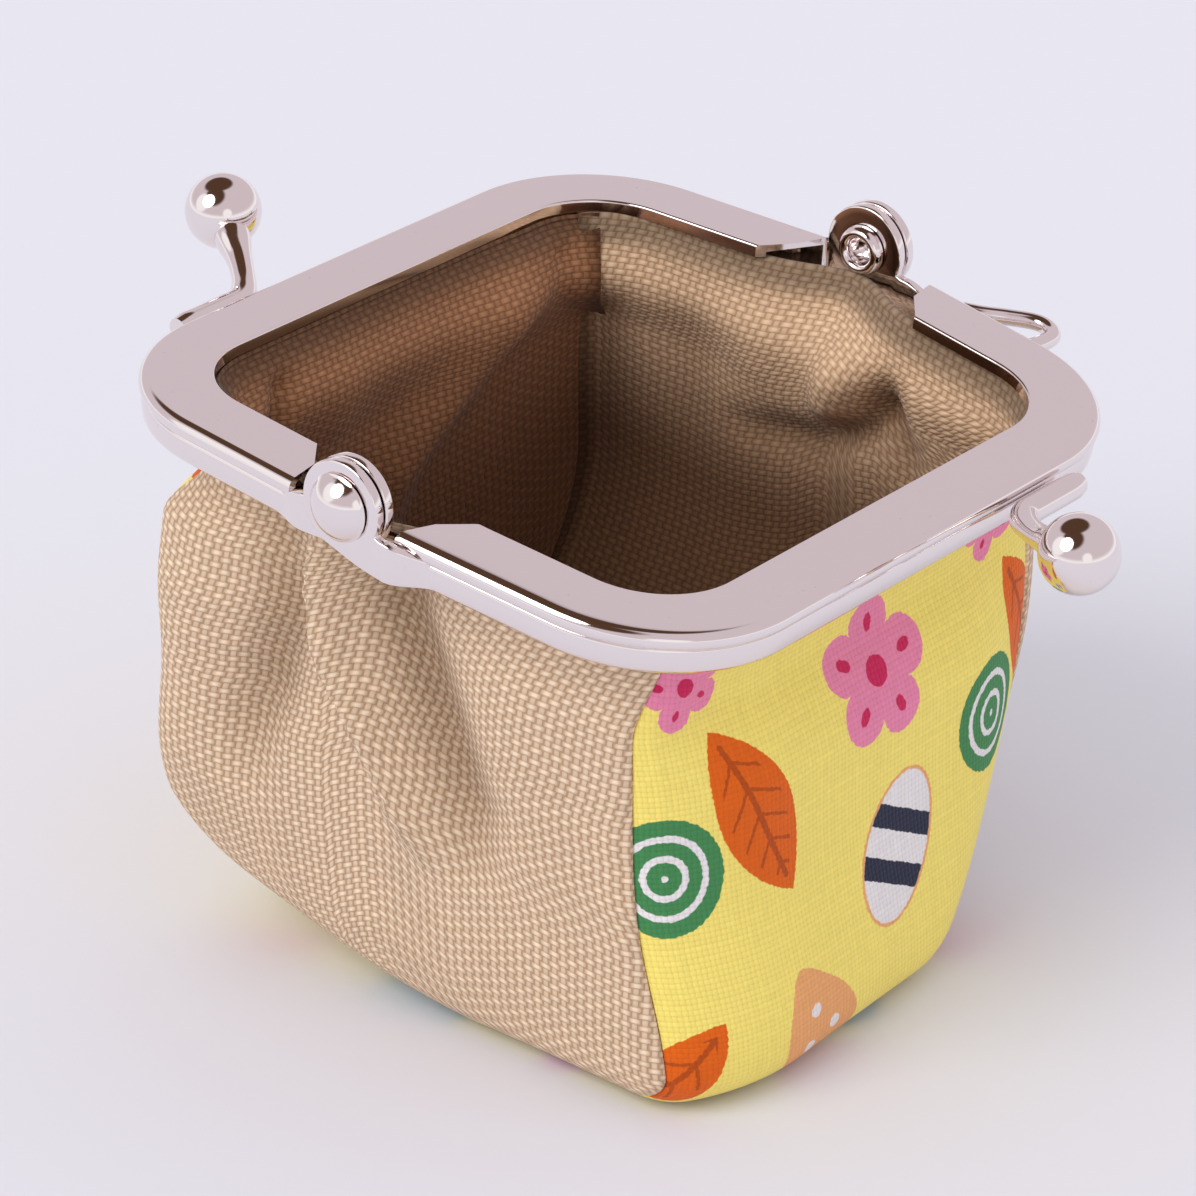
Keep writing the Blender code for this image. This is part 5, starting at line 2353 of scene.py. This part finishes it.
@dataclass
class Pouch:
    """The whole pouch: printed strip, canvas sides and canvas lining, each split into a front and a rear
    piece.
    """

    wardrobe: Wardrobe
    form: PouchForm = field(default_factory=PouchForm)
    front_bend: tuple[Spot, Spot] = ((0.0, -0.0150, 0.0309), (0.0, -0.0274, 0.0416))
    rear_bend: tuple[Spot, Spot] = ((0.0, 0.0098, 0.0309), (0.0, 0.0222, 0.0416))
    left_folds: tuple[Fold, ...] = (
        crease([(6.8, 49, 0.7), (6.6, 43, 1), (5.4, 35, 1), (1.8, 29.6, 1), (-2.5, 21, 0.7), (-6.1, 16, 0)],
               3.0, 1.5, 2.2),
        crease([(0.0, 47, 0.8), (-1.1, 40, 1), (-4.7, 31.8, 0.9), (-8.3, 24, 0.7), (-9, 16, 0)],
               -3.4, 3.2, 4.0),
        crease([(12.0, 46, 0.5), (10.8, 37, 1), (13, 29, 1), (15.2, 22, 0.7), (15.6, 14, 0)], -2.4, 3.0, 3.0),
        crease([(20.0, 43, 0.6), (21.6, 35, 1), (22.6, 27, 1), (22.6, 15, 0.3)], 1.0, 3.6, 3.6),
        crease([(-14.0, 43, 0.6), (-14.5, 35, 1), (-15.5, 24, 0.7), (-16, 14, 0)], 0.9, 5.0, 5.0),
    )
    right_folds: tuple[Fold, ...] = (
        crease([(-6.2, 50, 0.5), (-5.4, 46, 1), (-4.4, 41, 1), (-3.0, 38, 0.4)], -3.0, 2.6, 2.8),
        crease([(-9.9, 43.8, 0.7), (-8.6, 41, 1), (-7.0, 38.8, 1), (-1.6, 35.6, 0.8), (4.7, 34.5, 0.5),
                (10, 34.6, 0)], 2.9, 2.3, 2.2),
        crease([(-10.8, 41, 1), (-12.4, 37.5, 1), (-13.0, 33, 0)], 1.6, 2.0, 1.6),
        crease([(4.0, 50, 0.4), (5.0, 42, 1), (6.0, 38, 0.4)], -0.9, 3.6, 3.6),
        crease([(13.0, 50, 0.4), (13.6, 40, 1), (13.0, 26, 0)], 0.9, 3.6, 3.6),
        crease([(-22.6, 50.6, 0.6), (-22.4, 48, 1), (-21, 45.5, 0)], 1.2, 1.3, 1.3),
        crease([(-25.2, 44, 0.5), (-25.4, 32, 1), (-25.4, 16, 0.6), (-24, 8, 0)], 1.3, 2.2, 2.2),
    )
    front_folds: tuple[Fold, ...] = (
        crease([(-24.8, 43, 1), (-20.7, 39, 0.8), (-17.5, 36, 0)], -0.8, 2.2, 2.2),
        crease([(-19.5, 43, 1), (-15.5, 39, 0)], 0.5, 1.8, 1.8),
        crease([(18.0, 42, 0.7), (20.0, 32, 1), (21.0, 20, 0)], -0.7, 4.0, 4.0),
    )
    rear_folds: tuple[Fold, ...] = (
        crease([(19.4, 49.6, 0.5), (14.6, 46.2, 0.9), (9.8, 42, 1), (5.0, 38.6, 1), (0.8, 35, 1),
                (-3, 26, 0.3)], -2.6, 2.6, 4.6),
        crease([(-16.4, 50, 0.8), (-17.4, 47.6, 1), (-19, 45.5, 0)], 1.5, 1.3, 1.3),
        crease([(-10.0, 50, 0.3), (-8.0, 44, 1), (-7.0, 38, 0)], -0.7, 3.4, 3.4),
    )

    def sew(self, name: str, panel: PanelGrid, facing: Vector, node: str, look: Look) -> None:
        """Make one panel and dress it.

        Args:
            name: The piece's name.
            panel: Its grid.
            facing: Roughly which way its outer face looks.
            node: The CAD node it stands for.
            look: The look it takes.
        """
        thing = ClothPanel(name, panel, self.form.plan.shown_sheet, facing).build()
        self.wardrobe.dress(thing, look)
        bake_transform(thing)
        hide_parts(node)
        log.info("%s: %s, %d points", name, look.value, panel.depth.size)

    def build(self) -> None:
        """Build both layers."""
        for layer in Layer:
            self.build_strip(layer)
            for side in Side:
                self.build_side(side, layer)

    def build_strip(self, layer: Layer) -> None:
        """Build front, base and back of one layer, as a front and a rear piece.

        Args:
            layer: Which layer.
        """
        form, outer = self.form, layer is Layer.OUTER
        forward = Vector((0, -1, 0))
        strip = form.strip_grid(layer, {Half.FRONT: self.front_folds, Half.REAR: self.rear_folds})
        if outer:
            strip = form.curled(strip, forward, outer, columns=True)
        strip = form.curled(strip, forward, outer, columns=False)
        middle = len(strip.depth) // 2
        halves = (
            (Half.FRONT, slice(0, middle + 1), forward),
            (Half.REAR, slice(middle, None), Vector((0, 0.5, -0.5))),
        )
        node = "outer_strip" if outer else "lining_strip"
        look = Look.PRINT if outer else Look.WALL_LINING
        for half, rows, facing in halves:
            name = f"{half.name.lower()}_wall_{layer.value}"
            self.sew(name, strip.part(rows, slice(None)), facing, node, look)

    def build_side(self, side: Side, layer: Layer) -> None:
        """Build one side of one layer, as a front and a rear piece.

        Args:
            side: Which side.
            layer: Which layer.
        """
        form, outer = self.form, layer is Layer.OUTER
        word = side.name.lower()
        facing = Vector((side.value, 0, 0))
        panel = form.side_grid(side, layer, self.left_folds if side is Side.LEFT else self.right_folds)
        if outer:
            panel = form.curled(panel, facing, outer, columns=True)
        panel = form.curled(panel, facing, outer, columns=False, last=False)
        middle = panel.depth.shape[1] // 2
        node = word + ("_gusset" if outer else "_gusset_lining")
        look = Look.CANVAS if outer else Look.SIDE_LINING
        for half, columns in ((Half.FRONT, slice(0, middle + 1)), (Half.REAR, slice(middle, None))):
            name = f"{word}_side_{half.name.lower()}_{layer.value}"
            self.sew(name, panel.part(slice(None), columns), facing, node, look)


# Stage


@dataclass(frozen=True)
class ViewPoint:
    """The camera, by what the photograph shows of the purse."""

    hinge_plane: Vector = Vector((0.0, -0.0026, 0.0535))
    azimuth: float = math.radians(-50.56)
    elevation: float = math.radians(26.28)
    aside: float = -0.00261
    below: float = -0.01991
    distance: float = 0.4664
    lens: float = 157.6
    sensor: float = 36.0
    clip_start: float = 0.01
    clip_end: float = 20.0

    def build(self) -> Thing:
        """Set up the camera.

        Returns:
            The camera.
        """
        level = Vector((math.sin(self.azimuth), -math.cos(self.azimuth), 0.0))
        back = level * math.cos(self.elevation) + Vector((0, 0, math.sin(self.elevation)))
        right = Vector((0, 0, 1)).cross(back).normalized()
        up = back.cross(right)
        spot = self.hinge_plane + right * self.aside + up * self.below + back * self.distance
        data = bpy.data.cameras.new("camera")
        data.lens = self.lens
        data.sensor_width = self.sensor
        data.clip_start = self.clip_start
        data.clip_end = self.clip_end
        camera = bpy.data.objects.new("camera", data)
        rotation = Matrix((right, up, back)).transposed().to_4x4()
        camera.matrix_world = Matrix.Translation(spot) @ rotation
        bpy.context.scene.collection.objects.link(camera)
        bpy.context.scene.camera = camera
        return camera


@dataclass(frozen=True)
class Studio:
    """Pale floor, soft lamps and the room that the plating mirrors."""

    floor_size: float = 6.0
    floor_steps: int = 24
    floor_level: float = -0.0002
    floor_colour: Colour = tint(227, 226, 232)
    floor_cloud: float = 0.985
    shown_background: Colour = tint(227, 225, 233)
    sky_light: float = 0.88
    sky_colour: Colour = tint(250, 249, 255)
    key_strength: float = 1.05
    key_angle: float = math.radians(36)
    key_from: Spot = (-0.80, 0.24, 0.74)
    mirrored_wall: Colour = tint(214, 203, 209)
    mirrored_dark: Colour = tint(84, 60, 44)
    mirrored_window: Colour = tint(255, 255, 255)

    def build_floor(self) -> None:
        """A large matt sheet.

        Its shade varies a little.
        """
        def fill(work: Work) -> None:
            """Add a grid of faces."""
            steps = self.floor_steps
            bmesh.ops.create_grid(work, x_segments=steps, y_segments=steps, size=self.floor_size / 2)

        floor = new_object("floor", mesh_from(fill, Matrix.Translation((0, 0, self.floor_level))))
        material, w, shader = Finish("floor_paper", "").start()
        cloud = w.noise(w.add("ShaderNodeTexCoord").outputs["Object"], 2.0, 2.0)
        dull = tuple(channel * self.floor_cloud for channel in self.floor_colour)
        w.feed(shader.inputs["Base Color"], w.blend(cloud, self.floor_colour, dull))
        w.feed(shader.inputs["Roughness"], w.math("MULTIPLY_ADD", cloud, 0.05, 0.9))
        shader.inputs["Specular IOR Level"].default_value = 0.1
        floor.data.materials.append(material)

    def build_lamps(self) -> None:
        """One broad soft lamp from the left."""
        data = bpy.data.lights.new("key_lamp", "SUN")
        data.energy = self.key_strength
        data.angle = self.key_angle
        lamp = bpy.data.objects.new("key_lamp", data)
        lamp.rotation_euler = Vector(self.key_from).to_track_quat("Z", "Y").to_euler()
        bpy.context.scene.collection.objects.link(lamp)

    def build_room(self) -> None:
        """Even light for the cloth, and for the plating a pale wall, a dark ceiling and a bright window."""
        world = bpy.data.worlds.new("room")
        bpy.context.scene.world = world
        world.use_nodes = True
        w = Wiring(world.node_tree)
        background = world.node_tree.nodes["Background"]
        way = w.add("ShaderNodeTexCoord").outputs["Generated"]
        colour: Any = self.mirrored_wall
        patches = (
            ((0.18, 0.37, 0.91), 0.84, 0.90, self.mirrored_dark),
            ((-0.50, 0.05, 0.86), 0.84, 0.92, self.mirrored_dark),
            ((-0.70, 0.52, 0.46), 0.90, 0.95, self.mirrored_window),
            ((-0.54, -0.80, 0.22), 0.96, 0.985, self.mirrored_window),
        )
        for direction, edge, full, shown in patches:
            middle = tuple(Vector(direction).normalized())
            near = w.add("ShaderNodeVectorMath", {0: way, 1: middle}, operation="DOT_PRODUCT").outputs[1]
            colour = w.blend(w.ramp(near, edge, full), colour, shown)
        _, _, up = w.split(way)
        colour = w.blend(w.ramp(up, 0.02, 0.20, 1.0, 0.0), colour, self.mirrored_window)
        path = w.add("ShaderNodeLightPath").outputs
        unseen = w.blend(path["Is Glossy Ray"], self.sky_colour, colour)
        lit = w.math("MULTIPLY_ADD", path["Is Glossy Ray"], 1.0 - self.sky_light, self.sky_light)
        strength = w.math("MAXIMUM", lit, path["Is Camera Ray"])
        w.feed(background.inputs["Color"], w.blend(path["Is Camera Ray"], unseen, self.shown_background))
        w.feed(background.inputs["Strength"], strength)

    def build(self) -> None:
        """Floor, lamps, room and the plain view settings."""
        self.build_floor()
        self.build_lamps()
        self.build_room()
        bpy.context.scene.view_settings.view_transform = "Standard"


def main() -> None:
    """Build the purse and its studio."""
    logging.basicConfig(level=logging.INFO, format="%(message)s")
    ViewPoint().build()
    Studio().build()
    groups = {"weave": plain_weave_group(), "handling": handling_group(), "motif": motif_place_group()}
    # A darker copy of the lining for the front and rear walls: painted shade, as those walls face away from
    # the key lamp.
    wall = LiningCanvas("wall_lining_finish", near_shade=(0.60, 0.39, 0.28), deep_shade=(0.25, 0.135, 0.07))
    finishes: dict[Look, Finish] = {
        Look.STEEL: PlatedSteel(),
        Look.CANVAS: Canvas(),
        Look.SIDE_LINING: LiningCanvas(),
        Look.WALL_LINING: wall,
        Look.PRINT: PrintedCotton(),
        Look.CORD: PaperCord(),
    }
    wardrobe = Wardrobe(finishes, groups)
    for half in Half:
        pieces = [(piece, Look.STEEL) for piece in (ClaspFrame(half).build(), *SnapLock(half).build())]
        for piece, look in (*pieces, (CordInChannel(half).build(), Look.CORD)):
            wardrobe.dress(piece, look)
            log.info("%s on the %s half", piece.name, half.name.lower())
    for piece in (StrapLoop().build(), HingeRivet(Side.LEFT).build(), HingeRivet(Side.RIGHT).build()):
        wardrobe.dress(piece, Look.STEEL)
        log.info("%s", piece.name)
    Pouch(wardrobe).build()


if __name__ == "__main__":
    main()
